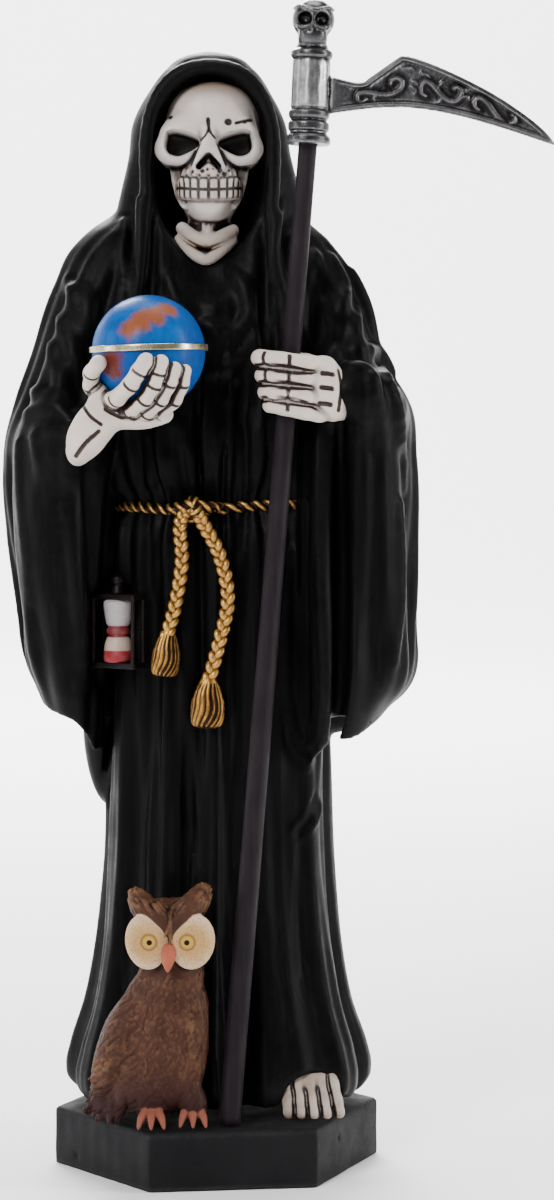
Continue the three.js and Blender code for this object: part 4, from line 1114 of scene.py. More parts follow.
# %% Tails and knot
TAILS = {
    "left_tail": [(-2.2, -7.6, 57.3), (-3.2, -8.3, 55.6), (-3.05, -8.3, 52.2), (-3.6, -8.1, 48.4), (-4.5, -8, 45)],
    "right_tail": [(-2, -7.7, 57.2), (-1.2, -8.5, 55.8), (0.45, -8.5, 52.6), (1.2, -8.4, 48.6), (0.4, -8.3, 44.6),
                   (-0.7, -8.2, 40.6)],
}
KNOTS = {
    "knot_over": ([(-4.3, -6.9, 56.9), (-3.3, -7.8, 57.1), (-2, -8.3, 57.3), (-0.5, -7.9, 57.1), (0.5, -6.9, 57)],
                  1.45, 2.6, 90),
    "knot_round": ([(-2.3, -6.6, 57.7), (-1.8, -8.1, 57.6), (-1.7, -8.7, 56.8), (-2.1, -8.3, 56.1), (-2.6, -7, 56.1)],
                   1.25, 2, 80),
}
LEAD, SWING_WIDE, SWING_DEEP = 7.2, 1.1, 0.6


def strand_radius(share, angle):
    return STRAND_GIRTH * (1 + 0.05 * np.cos(5 * angle + 260 * share))


def plaited_piece(name, path):
    length = sum(np.linalg.norm(b - a) for a, b in zip(path[:-1], path[1:]))
    path = smooth_path(path, int(length * 5))
    tangent = np.gradient(path, axis=0)
    side = np.cross(tangent, (0, 1, 0))
    side /= np.linalg.norm(side, axis=1)[:, None]
    out = np.cross(side, tangent)
    out /= np.linalg.norm(out, axis=1)[:, None]
    run = np.linspace(0, length / LEAD, len(path))
    points, faces, high = np.zeros((0, 3)), [], []
    for third in range(3):
        swing = 2 * math.pi * (run + third / 3)
        strand = path + side * (SWING_WIDE * np.sin(swing))[:, None] + out * (SWING_DEEP * np.sin(2 * swing))[:, None]
        made, quads, _ = swept(strand, len(path), 12, strand_radius)
        # How far each strand point stands towards the front, which places the painted shade and highlight.
        away = (made.reshape(-1, 12, 3) - path[:, None]) @ np.array([0, -1, 0])
        made, triangles = cap_ends(made, quads, 12)
        faces.append(triangles + len(points))
        points = np.vstack([points, made])
        high += [away.ravel(), [0, 0]]
    high = np.concatenate(high)
    piece = mesh_object(name, points, np.vstack(faces))
    # Painted shade where the strands turn back and painted highlight where they come forward, kept as "hollow" and
    # "crest".
    keep_masks(piece, hollow=1.2 * ease(high, 0.75, -0.1), crest=ease(high, 0.75, 1.45))
    rope_pieces.append(piece)
    print(name, len(high), "vertices")


for name, line in TAILS.items():
    plaited_piece(name, [at(*point) for point in line])
for name, (line, girth, turns, rings) in KNOTS.items():
    path = [at(*point) for point in line]
    points, faces, radius = swept(path, rings, 20, lambda share, angle: strands(girth, angle, turns, share))
    points, faces = cap_ends(points, faces, 20)
    rope_pieces.append(rope_masks(mesh_object(name, points, faces), np.append(radius, [girth, girth]), girth))

# %% Tassels
def tassel_piece(name, top, way, length, width):
    """A bell of threads that widens smoothly from the cord's end, standing along a direction."""
    rows, sides = 60, 84
    share = np.linspace(0, 1, rows)
    profile = np.interp(share, [0, 0.05, 0.14, 0.28, 0.46, 0.66, 0.82, 0.92, 0.97, 1],
                        [0.3, 0.42, 0.56, 0.76, 0.93, 1, 0.99, 0.92, 0.8, 0.5]) * width
    angle = np.arange(sides) / sides * 2 * math.pi
    lean = (0.75 * share + 0.16 * np.sin(7 * share))[:, None]
    threads = 0.06 * (1 - 2 * np.abs(np.sin(8 * (angle[None] + lean))) ** 0.7)
    threads = (threads + 0.02 * np.cos(3 * angle[None] - 2 + 5 * lean)) * ease(share, 0.08, 0.2)[:, None]
    radius = profile[:, None] * (1 + threads)
    flat = 0.78
    way = np.array(way, float) / np.linalg.norm(way)
    side = np.cross(way, (0, 1, 0))
    side /= np.linalg.norm(side)
    deep = np.cross(side, way)
    points = (top + way * (share * length)[:, None, None] + side * (np.cos(angle) * radius)[..., None]
              + deep * (np.sin(angle) * radius * flat)[..., None]).reshape(-1, 3)
    points, faces = cap_ends(points, ring_faces(rows, sides)[:, [0, 3, 2, 1]], sides, -1)
    piece = mesh_object(name, points, faces)
    grooves = np.append(threads, [0, 0])
    keep_masks(piece, hollow=0.55 * ease(grooves, 0, -0.09), crest=ease(grooves, 0, 0.08))
    rope_pieces.append(piece)
    print(name, len(points), "vertices")


tassel_piece("left_tassel", at(-4.3, -8, 45.9), (-0.1, 0, -1), 12.4, 3.5)
tassel_piece("right_tassel", at(-0.6, -8.2, 41.5), (-0.04, 0, -1), 13.4, 4.15)
PIECES += [(piece, ("figure",), "painted_resin") for piece in rope_pieces]

# %% [markdown]
# ## The scythe
# The staff is a plain painted rod. The head is cast in one: a barrel with rings, a skull for a pommel and a blade
# with a raised rim, on whose sunk ground three leafy scrolls stand up. A blade is nearly flat, so its carving is
# worked out from above as a height at every point, and then given its thickness.

# %% Blade outline
BLADE_REACH = 62
BLADE_HALF = 1.3
BARREL_LENGTH = 23.6
BLADE_LEVEL = BARREL_LENGTH * 0.43


def bezier(a, b, c, d, count=16):
    t = np.linspace(0, 1, count)[:, None]
    a, b, c, d = [np.array(p, float) for p in (a, b, c, d)]
    return a * (1 - t) ** 3 + 3 * b * t * (1 - t) ** 2 + 3 * c * t ** 2 * (1 - t) + d * t ** 3


blade_outline = BLADE_REACH * np.vstack([bezier(*bend) for bend in (
    ((0, 0.125), (0.13, 0.115), (0.2, 0.07), (0.23, 0.112)),
    ((0.355, 0.208), (0.38, 0.226), (0.62, 0.14), (0.78, 0.05)),
    ((0.78, 0.05), (0.88, -0.01), (0.96, -0.06), (1, -0.125)),
    ((1, -0.125), (0.8, -0.07), (0.55, 0.012), (0.34, 0)),
    ((0.34, 0), (0.22, -0.006), (0.14, -0.03), (0, -0.05)),
)])

# %% Scrolls and leaves
# Each scroll is a long S with a curl at each end; leaves are short strokes that branch off it
SCROLLS = [smooth_path(line, 44) for line in (
    [(14.3, 1.7), (12.8, 0.9), (11.7, 2), (12.5, 3.3), (15, 3.4), (18, 3), (20.6, 3.5), (22.5, 4.8), (22.8, 6.5),
     (21.5, 7.3), (20.2, 6.7), (19.9, 5.7)],
    [(28.9, 3.1), (27.7, 4), (27.6, 5.7), (28.7, 6.8), (30.1, 6.2), (31.6, 4.7), (33.5, 2.9), (35.7, 2.1), (37.4, 3.2),
     (37.7, 4.8), (36.7, 5.7), (35.8, 5.2)],
    [(42.3, 0.3), (41.3, 1.1), (41, 2.4), (42, 3.4), (43.3, 3), (44.7, 1.7), (46.1, -0.2), (47.9, -2), (49.8, -3),
     (51.4, -2.1), (51.4, -0.9), (50.6, -0.6)],
)]
LEAVES = [smooth_path(line, 9) for line in (
    [(16.5, 3), (15.8, 1.9), (16.5, 1.2)], [(9.9, 4.9), (10.9, 4.2), (12.1, 4.3)],
    [(25.4, 5.1), (26.4, 4.5), (26.1, 3.3)], [(26.5, 6), (25.8, 6.7), (24.8, 6.4)],
    [(30.9, 5.4), (32.1, 6), (32.9, 7)], [(32.9, 3.4), (32.4, 2), (31.2, 1.4)],
    [(37.9, 3.5), (39.2, 3.5), (39.8, 2.6)], [(38.8, 4.8), (39.5, 5.6), (40.5, 5.2)],
    [(46.7, -0.9), (46.1, -2.1), (45, -2.2)], [(52.6, -4), (53.8, -4.5), (54.7, -4.2)],
    [(22.8, 9.6), (24.3, 10.1), (25.8, 9.5)], [(27.6, 8.7), (28.9, 8.4), (29.8, 7.7)],
)]

# %% The blade as a height
def blade_height(x, z):
    """Half the blade's thickness at every point, with rim, ground, scrolls and leaves."""
    edge, _ = distance_to_line(x, z, blade_outline, closed=True)
    edge = np.where(inside_line(x, z, blade_outline), edge, -edge)
    rounded = np.sqrt(np.clip(1 - (1 - np.clip(edge / 0.9, 0, 1)) ** 2, 0, 1))
    rim = ease(edge, 1.55, 1.15)
    rim_line = 0.16 * np.exp(-((edge - 1.75) / 0.25) ** 2)
    keep = ease(x, 8.5, 6.5)
    ground = -0.5 * (1 - np.maximum(rim, keep)) + 0.05 * np.sin(5.1 * x + 2 * np.sin(3.3 * z)) * np.sin(4.7 * z + x)
    relief = np.zeros_like(edge)
    for lines, rise, width in ((SCROLLS, 0.5, lambda t: 0.62 * np.sin(np.clip(t, 0.03, 0.97) * math.pi) ** 0.3),
                               (LEAVES, 0.4, lambda t: 0.52 * (1 - 0.75 * t))):
        for line in lines:
            away, place = distance_to_line(x, z, line)
            relief = np.maximum(relief, rise * np.sqrt(np.clip(1 - (away / width(place)) ** 2, 0, 1)))
    ground = ground + relief * ease(edge, 1.3, 1.8) * (1 - keep)
    return BLADE_HALF * rounded + (ground - rim_line * (1 - keep)) * ease(edge, 0.6, 1.2), edge


print("blade outline of", len(blade_outline), "points,", len(SCROLLS), "scrolls and", len(LEAVES), "leaves")

# %% Cast the head
head_clay = Clay([-7.5, -7.5, -1], [63, 7.5, 38], 0.26)
window, x, y, z = head_clay.axes(head_clay.low, head_clay.low + head_clay.step * head_clay.count)
height, edge = blade_height(x[:, 0], z[0] - BLADE_LEVEL)
head_clay.field = np.maximum(np.abs(y) - height[:, None, :], -edge[:, None, :]).astype(np.float32)
BARREL = [
    (-0.4, 0), (0, 5.35), (0.5, 5.6), (1.7, 5.6), (2.2, 5.1), (2.7, 4.6), (3.2, 4.65), (3.6, 5.1), (5.2, 5.15),
    (5.6, 4.7), (6, 4.4), (6.5, 4.8), (6.9, 5.1), (8, 5.1), (8.4, 4.7), (8.8, 4.45), (9.3, 4.7), (20.6, 4.72),
    (21, 4.5), (21.4, 4.9), (21.8, 5.2), (22.9, 5.2), (23.3, 4.8), (23.7, 4.1), (24.3, 3.9), (25, 3.6),
]
levels, girths = np.array(BARREL).T


def barrel_distance(x, y, z):
    spin = np.arctan2(y, x)
    hammered = 0.06 * np.cos(11 * spin + 0.4 * np.sin(z)) * ease(z, 9, 10) * ease(z, 20.6, 19.5)
    away = np.hypot(x, y) - np.interp(z, levels, girths) - hammered
    return np.maximum(away * 0.8, np.maximum(-z, z - 25))


head_clay.add((np.array([-6, -6, 0]), np.array([6, 6, 25]), barrel_distance), 0.5)
head_clay.add(ball((0, -0.2, 31), (5.25, 5.4, 5.1)), 0.6)
head_clay.add(ball((0, -1.4, 27), (3.9, 3.9, 3.4)), 0.8)
for side in (-1, 1):
    head_clay.add_path([(side * 4.2, -1.5, 29.2), (side * 3, -4.4, 28.6), (side * 1.2, -5.2, 28.9)], 0.75, 0.5, 8)
for side in (-1, 1):
    head_clay.cut(ball((side * 2.25, -5.2, 30.6), (1.95, 2.4, 1.75), -side * 16), 0.3)
    head_clay.cut(ball((side * 4.6, -2.2, 27.2), (1.2, 2.6, 1.6)), 0.5)
    head_clay.cut(bone((side * 0.35, -5.6, 28.9), (side * 0.75, -5.4, 28), 0.4, 0.55), 0.2)
for i in range(-2, 3):
    head_clay.cut(bone((i * 1.2, -5.9, 27), (i * 1.15, -5.3, 24.9), 0.26), 0.15)
head_clay.cut_path([(-3.4, -3.9, 26.1), (0, -5.7, 25.9), (3.4, -3.9, 26.1)], 0.28, 0.15, 8)
head_clay.add_path([(-5, 0.2, 33.6), (-3.6, -3.4, 33.9), (-1, -5.3, 32.9), (1.2, -5.3, 32.8), (3.6, -3.4, 33.8),
                    (5, 0.2, 33.6)], 0.3, 0.4, 16)
head_clay.cut(bone((0, 0, -3), (0, 0, 9), 2.75), 0.1)
print("scythe head grid", head_clay.field.shape)

# %% Set the head on the staff
lean = Matrix.Rotation(math.radians(-2), 3, "Y") @ Vector(STAFF_WAY)
head_place = (Matrix.Translation(Vector(STAFF_TOP - STAFF_WAY * 9))
              @ Vector((0, 0, 1)).rotation_difference(lean).to_matrix().to_4x4())


def blade_masks(points):
    """1 on the sunk ground between the scrolls, where the dark wash is left standing."""
    x, y, z = points.T
    near = (x > 5) & (np.abs(y) < 1.6)
    sunk = np.zeros(len(points))
    sunk[near] = ease(np.abs(y[near]), 1.13, 0.98) * ease(x[near], 7, 9)
    sockets = np.hypot((np.abs(x) - 2.25) / 1.95, (z - 30.6) / 1.75)
    cheeks = np.hypot((np.abs(x) - 4.4) / 1.3, (z - 27.2) / 1.7)
    pits = ease(np.minimum(sockets, cheeks), 1.15, 0.8) * ease(y, -1.5, -2.5) * ease(z, 25, 26)
    away = np.min([distance_to_line(x, z - BLADE_LEVEL, line)[0] for line in SCROLLS], 0)
    return {"ground": np.maximum(sunk * (0.5 + 0.5 * ease(away, 2.4, 1)), pits), "pommel": 0.85 * ease(z, 25, 26),
            "barrel": ease(np.hypot(x, y), 5.9, 5.4) * ease(z, 9, 9.6) * ease(z, 20.8, 20.2)}


scythe_head = finish_clay("scythe_blade_and_socket", head_clay, (0.5, 1.2), masks=blade_masks, place=head_place)
PIECES.append((scythe_head, ("scythe_head",), "antique_silver"))

# %% The staff
def staff_radius(share, angle):
    girth = 2.8 + (2.3 - 2.8) * share
    return girth + 0.035 * np.cos(5 * angle + 9 * share) + 0.02 * np.cos(31 * share + 2 * angle)


staff_path = [STAFF_FOOT + STAFF_WAY * t for t in np.linspace(0.05, 255.9, 9)]
points, faces, _ = swept(staff_path, 140, 28, staff_radius)
points, faces = cap_ends(points, faces, 28)
staff = mesh_object("scythe_staff_rod", points, faces)
keep_masks(staff, hollow=np.zeros(len(points)), crest=np.zeros(len(points)))
PIECES.append((staff, ("scythe_staff",), "staff_paint"))
print("staff", len(points), "vertices")

# %% [markdown]
# ## The owl
# The owl is a casting of its own, rough and chunky. Its body, head, wing and tail are balls melted together. The
# plumage is not a picture but chisel strokes: a thousand little ridges laid on the body along the way the feathers
# run, which is what a dry brush later catches.

# %% Owl forms
OWL_UNIT = 0.62
OWL_PLACE = np.array([-13.2, -29.4, FIGURE_BASE])
OWL_FACE = 3.6


def ow(x, y, z):
    return OWL_PLACE + np.array([x, y, z], float) * OWL_UNIT


def owl_ball(x, y, z, rx, ry, rz, tilt=0, turn=0):
    return ball(ow(x, y, z), np.array([rx, ry, rz]) * OWL_UNIT, tilt, turn)


owl_clay = Clay([-39, -41, 14.5], [4, -19, 78.5], 0.31)
for x, z, rx, ry, rz, tilt in ((-4, 24, 21, 11.3, 20, 6), (-2.5, 36, 20.5, 11.6, 17, 10), (1.5, 50, 16.5, 10.6, 15, 6),
                               (4.2, 63, 12.4, 9.2, 10, 0)):
    owl_clay.add(owl_ball(x, 0, z, rx, ry, rz, tilt), 3)
owl_clay.add(owl_ball(OWL_FACE, -0.5, 77, 15.8, 11, 11.4), 2.5)
owl_clay.add(owl_ball(-17.6, -1.6, 33, 8.2, 9.6, 22, 20), 1.4)
for x, y, z, rx, rz, tilt in ((-22.4, 0.6, 16, 3.6, 15.5, 13), (-18.4, -1.4, 14.5, 3.2, 14.5, 14),
                              (-14.6, -3.4, 15.5, 2.8, 13.5, 15), (-25.2, 1.4, 19, 2.6, 13, 12)):
    owl_clay.add(owl_ball(x, y, z, rx, 4.6, rz, tilt), 0.7)
owl_clay.add(owl_ball(13.6, -1, 38, 4.6, 8.2, 17, 2), 1.8)
owl_clay.add(owl_ball(OWL_FACE, -2, 86.2, 13, 7, 6.8), 1.5)
for side, out, top in ((-1, 12.4, 91.8), (1, 11.4, 93.4)):
    owl_clay.add_path([ow(OWL_FACE + side * 0.9, -11.4, 80.8), ow(OWL_FACE + side * 4.6, -9.6, 86.2),
                       ow(OWL_FACE + side * (out - 2.4), -6.4, top - 3), ow(OWL_FACE + side * out, -4, top)],
                      np.array([1.7, 4.2, 5.4, 4.4]) * OWL_UNIT, 1.4, 12)
    owl_clay.add(owl_ball(4.2 + side * 8.4, -3, 8.5 + side, 5.2, 5.2, 8.5, -side * 4), 1.6)
plumage_points, _ = surface_net(owl_clay)
print("owl blocked in,", len(plumage_points), "points to set plumage on")

# %% Chisel the plumage
chance = np.random.default_rng(7)
order = chance.permutation(len(plumage_points))
SPACING = 1.25
taken = set()
ways, _ = owl_clay.slope(plumage_points)
for index in order:
    point, way = plumage_points[index], ways[index]
    cell = tuple(np.floor(point / SPACING).astype(int))
    local = (point - OWL_PLACE) / OWL_UNIT
    if cell in taken or local[2] < 7:
        continue
    aside = abs(local[0] - OWL_FACE)
    if local[1] < -4 and abs(aside - 9.8) < 9.5 and 62 < local[2] < 88:
        continue
    taken.add(cell)
    wing = local[0] < -9 and local[2] < 52
    run = [-1, 0.1, -0.75] if wing else [0.55 * np.sin(local[2] * 0.55 + 0.4 * local[0]) - 0.2, 0, -1]
    if local[2] > 84:
        run = [math.copysign(0.75, local[0] - OWL_FACE), 0.2, 1]
    run = run + chance.normal(0, 0.11, 3)
    run = run - way * (run @ way)
    run /= max(np.linalg.norm(run), 1e-6)
    length = chance.uniform(2, 3.4) * (1.4 if wing and local[2] < 30 else 1)
    girth = chance.uniform(0.32, 0.52)
    start = point - way * (girth - 0.28)
    owl_clay.add(bone(start, start + run * length - way * 0.12, girth, girth * 0.6), 0.22)
print(len(taken), "strokes of plumage")

# %% [markdown]
# Face and feet come last so that they stay smooth: two dished discs that meet over the beak, the beak, and toes
# with claws that grip the plinth.

# %% Owl face and feet
DISCS = {side: owl_ball(OWL_FACE + middle, -10.8, 76.6, wide, 3.4, 11.4, side * 9)
         for side, middle, wide in ((-1, -9.7, 8.5), (1, 9, 9))}
OWL_EYES = {-1: ow(OWL_FACE - 8.6, -13.4, 76.7), 1: ow(OWL_FACE + 6.9, -13.4, 76.7)}
OWL_PUPILS = {-1: ow(OWL_FACE - 8.4, -13.5, 76.6), 1: ow(OWL_FACE + 6.7, -13.5, 76.6)}
for side in (-1, 1):
    owl_clay.add(DISCS[side], 0.25)
    owl_clay.cut(owl_ball(OWL_FACE + side * 9.3, -22.2, 76.6, 11, 8.9, 14, side * 9), 0.7)
    owl_clay.add(ball(OWL_EYES[side] + (0, 0.5, 0), (1.9, 0.7, 1.9)), 0.6)
beak = [ow(OWL_FACE - 0.6, -12.8, 73.4), ow(OWL_FACE - 0.8, -14.6, 70.2), ow(OWL_FACE - 1, -14, 65.4)]
owl_clay.add_path(beak, [1.5, 1.8, 0.5], 0.5, 8)
OWL_TOES = []
for side in (-1, 1):
    for toe in (-1, 0, 1):
        front = -8.8 + 1.6 * side
        root = ow(4.2 + side * 8.2 + toe * 2.2, front + 3.4, 6.6)
        knuckle = ow(4.2 + side * 8.4 + toe * 4, front - 0.6, 5)
        tip = ow(4.2 + side * 8.4 + toe * 5.2, front - 4.2 + 0.9 * abs(toe), 1.3)
        OWL_TOES.append(([root, knuckle, tip], [1.05, 0.95, 0.42]))
        owl_clay.add_path(*OWL_TOES[-1], 0.25, 8)
floor = FIGURE_BASE + 0.25 - owl_clay.axes(owl_clay.low, owl_clay.low + 99)[3]
owl_clay.field = np.maximum(owl_clay.field, floor.astype(np.float32))


def owl_masks(points):
    discs = np.min([disc[2](*points.T) for disc in DISCS.values()], 0)
    front = ease(points[:, 1], ow(0, -9.6, 0)[1] + 0.7, ow(0, -9.6, 0)[1])
    bill = path_shape(beak, [1.6, 1.9, 0.6], 8, 0.2)[2](*points.T)
    toes = np.min([path_shape(path, np.array(girth) + 0.1, 8, 0.2)[2](*points.T) for path, girth in OWL_TOES], 0)
    return {"disc": ease(discs, 0.3, 0.05) * front * ease(bill, 0, 0.25), "beak": ease(bill, 0.3, 0),
            "toes": ease(toes, 0.35, 0.05), "belly": ease(points[:, 2], ow(0, 0, 26)[2], ow(0, 0, 8)[2])}


owl = finish_clay("owl_casting", owl_clay, (0.45, 1.1), masks=owl_masks)
PIECES.append((owl, ("owl",), "owl_resin"))

# %% [markdown]
# ## Globe, hourglass and plinth
# The globe is a smooth ball, so a dense sphere is right for it. It is painted, not carved, and its ring is a metal
# band with soft edges: a rounded section turned round the globe's axis.

# %% Turning on a lathe
def lathe(profile, sides):
    """Points in rings: the profile lists radius and height."""
    profile = np.array(profile, float)
    angle = np.arange(sides) / sides * 2 * math.pi
    radius, height = profile[:, :1], profile[:, 1:] * np.ones(sides)
    return np.stack([radius * np.cos(angle), radius * np.sin(angle), height], -1).reshape(-1, 3)


def turned_piece(name, profile, place, sides):
    """A turned thing, set in place by a matrix in millimetres."""
    turn = np.array(place)
    points = lathe(profile, sides) @ turn[:3, :3].T + turn[:3, 3]
    piece = mesh_object(name, points, ring_faces(len(profile), sides))
    keep_masks(piece, hollow=np.zeros(len(points)), crest=np.zeros(len(points)))
    return piece


def rounded_profile(corners, radius, steps=5):
    """A closed outline with its corners rounded."""
    corners = np.array(corners, float)
    out = []
    for i, corner in enumerate(corners):
        before, after = corners[i - 1] - corner, corners[(i + 1) % len(corners)] - corner
        a = corner + before / np.linalg.norm(before) * radius
        b = corner + after / np.linalg.norm(after) * radius
        for t in np.linspace(0, 1, steps):
            out.append(a * (1 - t) ** 2 + corner * 2 * t * (1 - t) + b * t ** 2)
    return out + [out[0]]

# %% Globe and its ring
globe_tilt = Matrix.Translation(Vector(GLOBE)) @ Matrix.Rotation(math.radians(2), 4, "Y")
ball_profile = [(GLOBE_RADIUS * math.sin(turn), -GLOBE_RADIUS * math.cos(turn))
                for turn in np.linspace(0.0005, math.pi - 0.0005, 73)]
globe = turned_piece("globe_ball", ball_profile, globe_tilt, 144)
ring_corners = [(GLOBE_RADIUS + out, high) for out, high in ((-0.5, -0.8), (0.7, -0.8), (0.7, 0.8), (-0.5, 0.8))]
ring_tilt = Matrix.Translation(Vector(GLOBE) + Vector((0, 0, 0.7))) @ Matrix.Rotation(math.radians(-1.5), 4, "Y")
ring = turned_piece("globe_ring", rounded_profile(ring_corners, 0.28), ring_tilt, 144)
PIECES += [(globe, ("globe",), "globe_resin"), (ring, ("globe_band",), "ring_metal")]
print("globe and ring turned")

# %% [markdown]
# The hourglass hangs at the belt's side: two plates, four posts and two bulbs that meet in a collar.

# %% Hourglass
HOURGLASS = at(-9.1, -6, 45.5)
hour_place = Matrix.Translation(Vector(HOURGLASS)) @ Matrix.Rotation(math.radians(-32), 4, "Z")
frame_clay = Clay([-8, -4.5, -11], [8, 4.5, 16.5], 0.22)


def block(center, size, edge):
    center, half = np.array(center, float), np.array(size, float) / 2 - edge

    def distance(x, y, z):
        d = [np.abs(v - center[i]) - half[i] for i, v in enumerate((x, y, z))]
        outside = np.sqrt(np.maximum(d[0], 0) ** 2 + np.maximum(d[1], 0) ** 2 + np.maximum(d[2], 0) ** 2)
        return outside + np.minimum(np.maximum(np.maximum(d[0], d[1]), d[2]), 0) - edge

    return center - half - edge, center + half + edge, distance


for end in (-1, 1):
    frame_clay.add(block((0, 0, end * 8.75), (13.6, 6, 1.5), 0.35), 0.3)
    for side in (-1, 1):
        frame_clay.add_path([(end * 6.1, side * 2.3, z) for z in (-8.4, 0, 8.4)], [0.6, 0.5, 0.6], 0.4)
        frame_clay.add(ball((end * 6.1, side * 2.3, 0), 0.66), 0.3)
frame_clay.add(bone((0, 0, 9.2), (0, 0, 11.6), 2.1, 1.4), 0.5)
frame_clay.add(ball((0, 0, 13), (1.9, 1.9, 1.5)), 0.4)
hour_frame = finish_clay("hourglass_frame", frame_clay, (0.4, 0.9), place=hour_place)
bulb_profile = [(0.01, -8.1), (2.6, -8.1), (3.5, -7.7), (3.75, -6.9), (3.6, -4.6), (3.1, -2.2), (2.5, -1.1),
                (2.7, -0.8), (2.95, -0.4), (2.95, 0.4), (2.7, 0.8), (2.5, 1.1), (3.05, 2.2), (3.5, 4.6), (3.75, 6.9),
                (3.5, 7.7), (2.6, 8.1), (0.01, 8.1)]
hour_bulbs = turned_piece("hourglass_bulbs", smooth_path(bulb_profile, 110), hour_place, 64)
PIECES += [(hour_frame, ("hourglass",), "hourglass_resin"), (hour_bulbs, ("hourglass",), "hourglass_resin")]
print("hourglass made")

# %% [markdown]
# The plinth is a six-sided slab with worn edges. It is clay too, because nicks are easy to bite out of clay and hard
# to model on a box.

# %% Plinth
PLINTH_RADIUS = 42.5
PLINTH_FLAT = PLINTH_RADIUS * math.cos(math.radians(30))
plinth_clay = Clay([-44, -38.5, -1.5], [44, 38.5, 16.5], 0.62)


def plinth_distance(x, y, z):
    slant = [np.abs(x * 0.8660254 + y * 0.5), np.abs(x * 0.8660254 - y * 0.5)]
    sides = np.maximum(np.abs(y) - PLINTH_FLAT, np.maximum(*slant) - PLINTH_FLAT)
    wave = 0.07 * np.sin(x * 0.31 + z * 0.5) * np.sin(y * 0.27 + 1) + 0.04 * np.sin(x * 0.9 - y * 0.8)
    return np.maximum(carve(sides - wave, PLINTH_TOP - z, 1.6), -z)


plinth_clay.add((np.array([-44, -38.5, -1.5]), np.array([44, 38.5, 16.5]), plinth_distance), 0)
plinth_corners = [PLINTH_RADIUS * np.array([math.cos(math.radians(60 * n)), math.sin(math.radians(60 * n))])
                  for n in range(7)]
chance = np.random.default_rng(11)
for _ in range(46):
    edge, share = chance.integers(6), chance.uniform(0, 1)
    spot = plinth_corners[edge] + (plinth_corners[edge + 1] - plinth_corners[edge]) * share
    size = chance.uniform(0.5, 1.3)
    level = PLINTH_TOP + size * 0.45 if chance.uniform() < 0.75 else chance.uniform(2, 13)
    push = 1 + size * (0.012 if level > PLINTH_TOP - 2 else 0.02)
    plinth_clay.cut(ball((*(spot * push), level), (size * 1.3, size * 1.3, size * 0.8)), 0.5)
plinth = finish_clay("plinth_slab", plinth_clay, (1.2, 2.4), to=Matrix.Scale(0.001, 4))
PIECES.append((plinth, ("plinth",), "plinth_resin"))

# %% [markdown]
# ## Paint
# Figures like this are painted in three goes: a base coat, a thin dark wash that settles in the hollows, and a dry
# brush that drags a lighter colour over the crests. Here the wash also paints shade into the hollows and the dry
# brush paints highlights onto the crests. Each go is a node group, built once and used by every material with its
# own colours. All of them measure in millimetres from the object's own space, so that grain is to scale.

# %% Short hands for nodes
def node(tree, kind, inputs, **settings):
    """A node with its settings and inputs; an input that is a socket is linked, anything else is its value."""
    made = tree.nodes.new(kind)
    for key, value in settings.items():
        setattr(made, key, value)
    for key, value in inputs.items():
        if isinstance(value, bpy.types.NodeSocket):
            tree.links.new(value, made.inputs[key])
        else:
            made.inputs[key].default_value = value
    return made


def calc(tree, operation, a, b=0, clamp=False):
    return node(tree, "ShaderNodeMath", {0: a, 1: b}, operation=operation, use_clamp=clamp).outputs[0]


def blend_colors(tree, share, a, b):
    return node(tree, "ShaderNodeMix", {0: share, 6: a, 7: b}, data_type="RGBA").outputs[2]


def smooth_step(tree, value, low, high):
    return node(tree, "ShaderNodeMapRange", {"Value": value, 1: low, 2: high, 3: 0, 4: 1},
                interpolation_type="SMOOTHSTEP").outputs[0]


def millimetres(tree, stretch=(1000, 1000, 1000)):
    place = tree.nodes.new("ShaderNodeTexCoord").outputs["Object"]
    return node(tree, "ShaderNodeVectorMath", {0: place, 1: stretch}, operation="MULTIPLY").outputs[0]


def noise(tree, place, scale, detail=3, rough=0.55):
    return node(tree, "ShaderNodeTexNoise", {"Vector": place, "Scale": scale, "Detail": detail,
                                             "Roughness": rough}).outputs["Fac"]


def kept(tree, name):
    """The mask that every vertex keeps under a name."""
    return node(tree, "ShaderNodeAttribute", {}, attribute_name=name).outputs["Fac"]


def new_group(name, outputs, **inputs):
    """An empty node group with named sockets. An input's kind follows from its value."""
    tree = bpy.data.node_groups.new(name, "ShaderNodeTree")
    for label, value in inputs.items():
        kind = "Float" if isinstance(value, float) else "Color" if len(value) == 4 else "Vector"
        tree.interface.new_socket(label, in_out="INPUT", socket_type="NodeSocket" + kind).default_value = value
    for label in outputs:
        kind = "Color" if label == "Color" else "Float"
        tree.interface.new_socket(label, in_out="OUTPUT", socket_type="NodeSocket" + kind)
    return tree, tree.nodes.new("NodeGroupInput").outputs, tree.nodes.new("NodeGroupOutput").inputs


# %% [markdown]
# The wash reads the "hollow" mask and breaks its edge with noise, because thinned paint never settles evenly; it
# is partly the figure's wash and partly painted shade in the hollows. The dry brush reads "crest" the same way, and
# is partly dry-brushed paint and partly painted highlight on the crests.

# %% Wash with painted shade, dry brush with painted highlight
GRAY = (0.5, 0.5, 0.5, 1)
t, given, out = new_group("hollow_paint_and_shade", ["Color", "Mask"], Paint=GRAY, Wash=GRAY, Strength=1.0, Scale=0.6)
uneven = calc(t, "MULTIPLY_ADD", noise(t, millimetres(t), given["Scale"]), 0.5)
uneven.node.inputs[2].default_value = 0.75
settled = calc(t, "MULTIPLY", kept(t, "hollow"), uneven)
mask = smooth_step(t, calc(t, "MULTIPLY", settled, given["Strength"]), 0.12, 0.78)
t.links.new(mask, out["Mask"])
t.links.new(blend_colors(t, mask, given["Paint"], given["Wash"]), out["Color"])

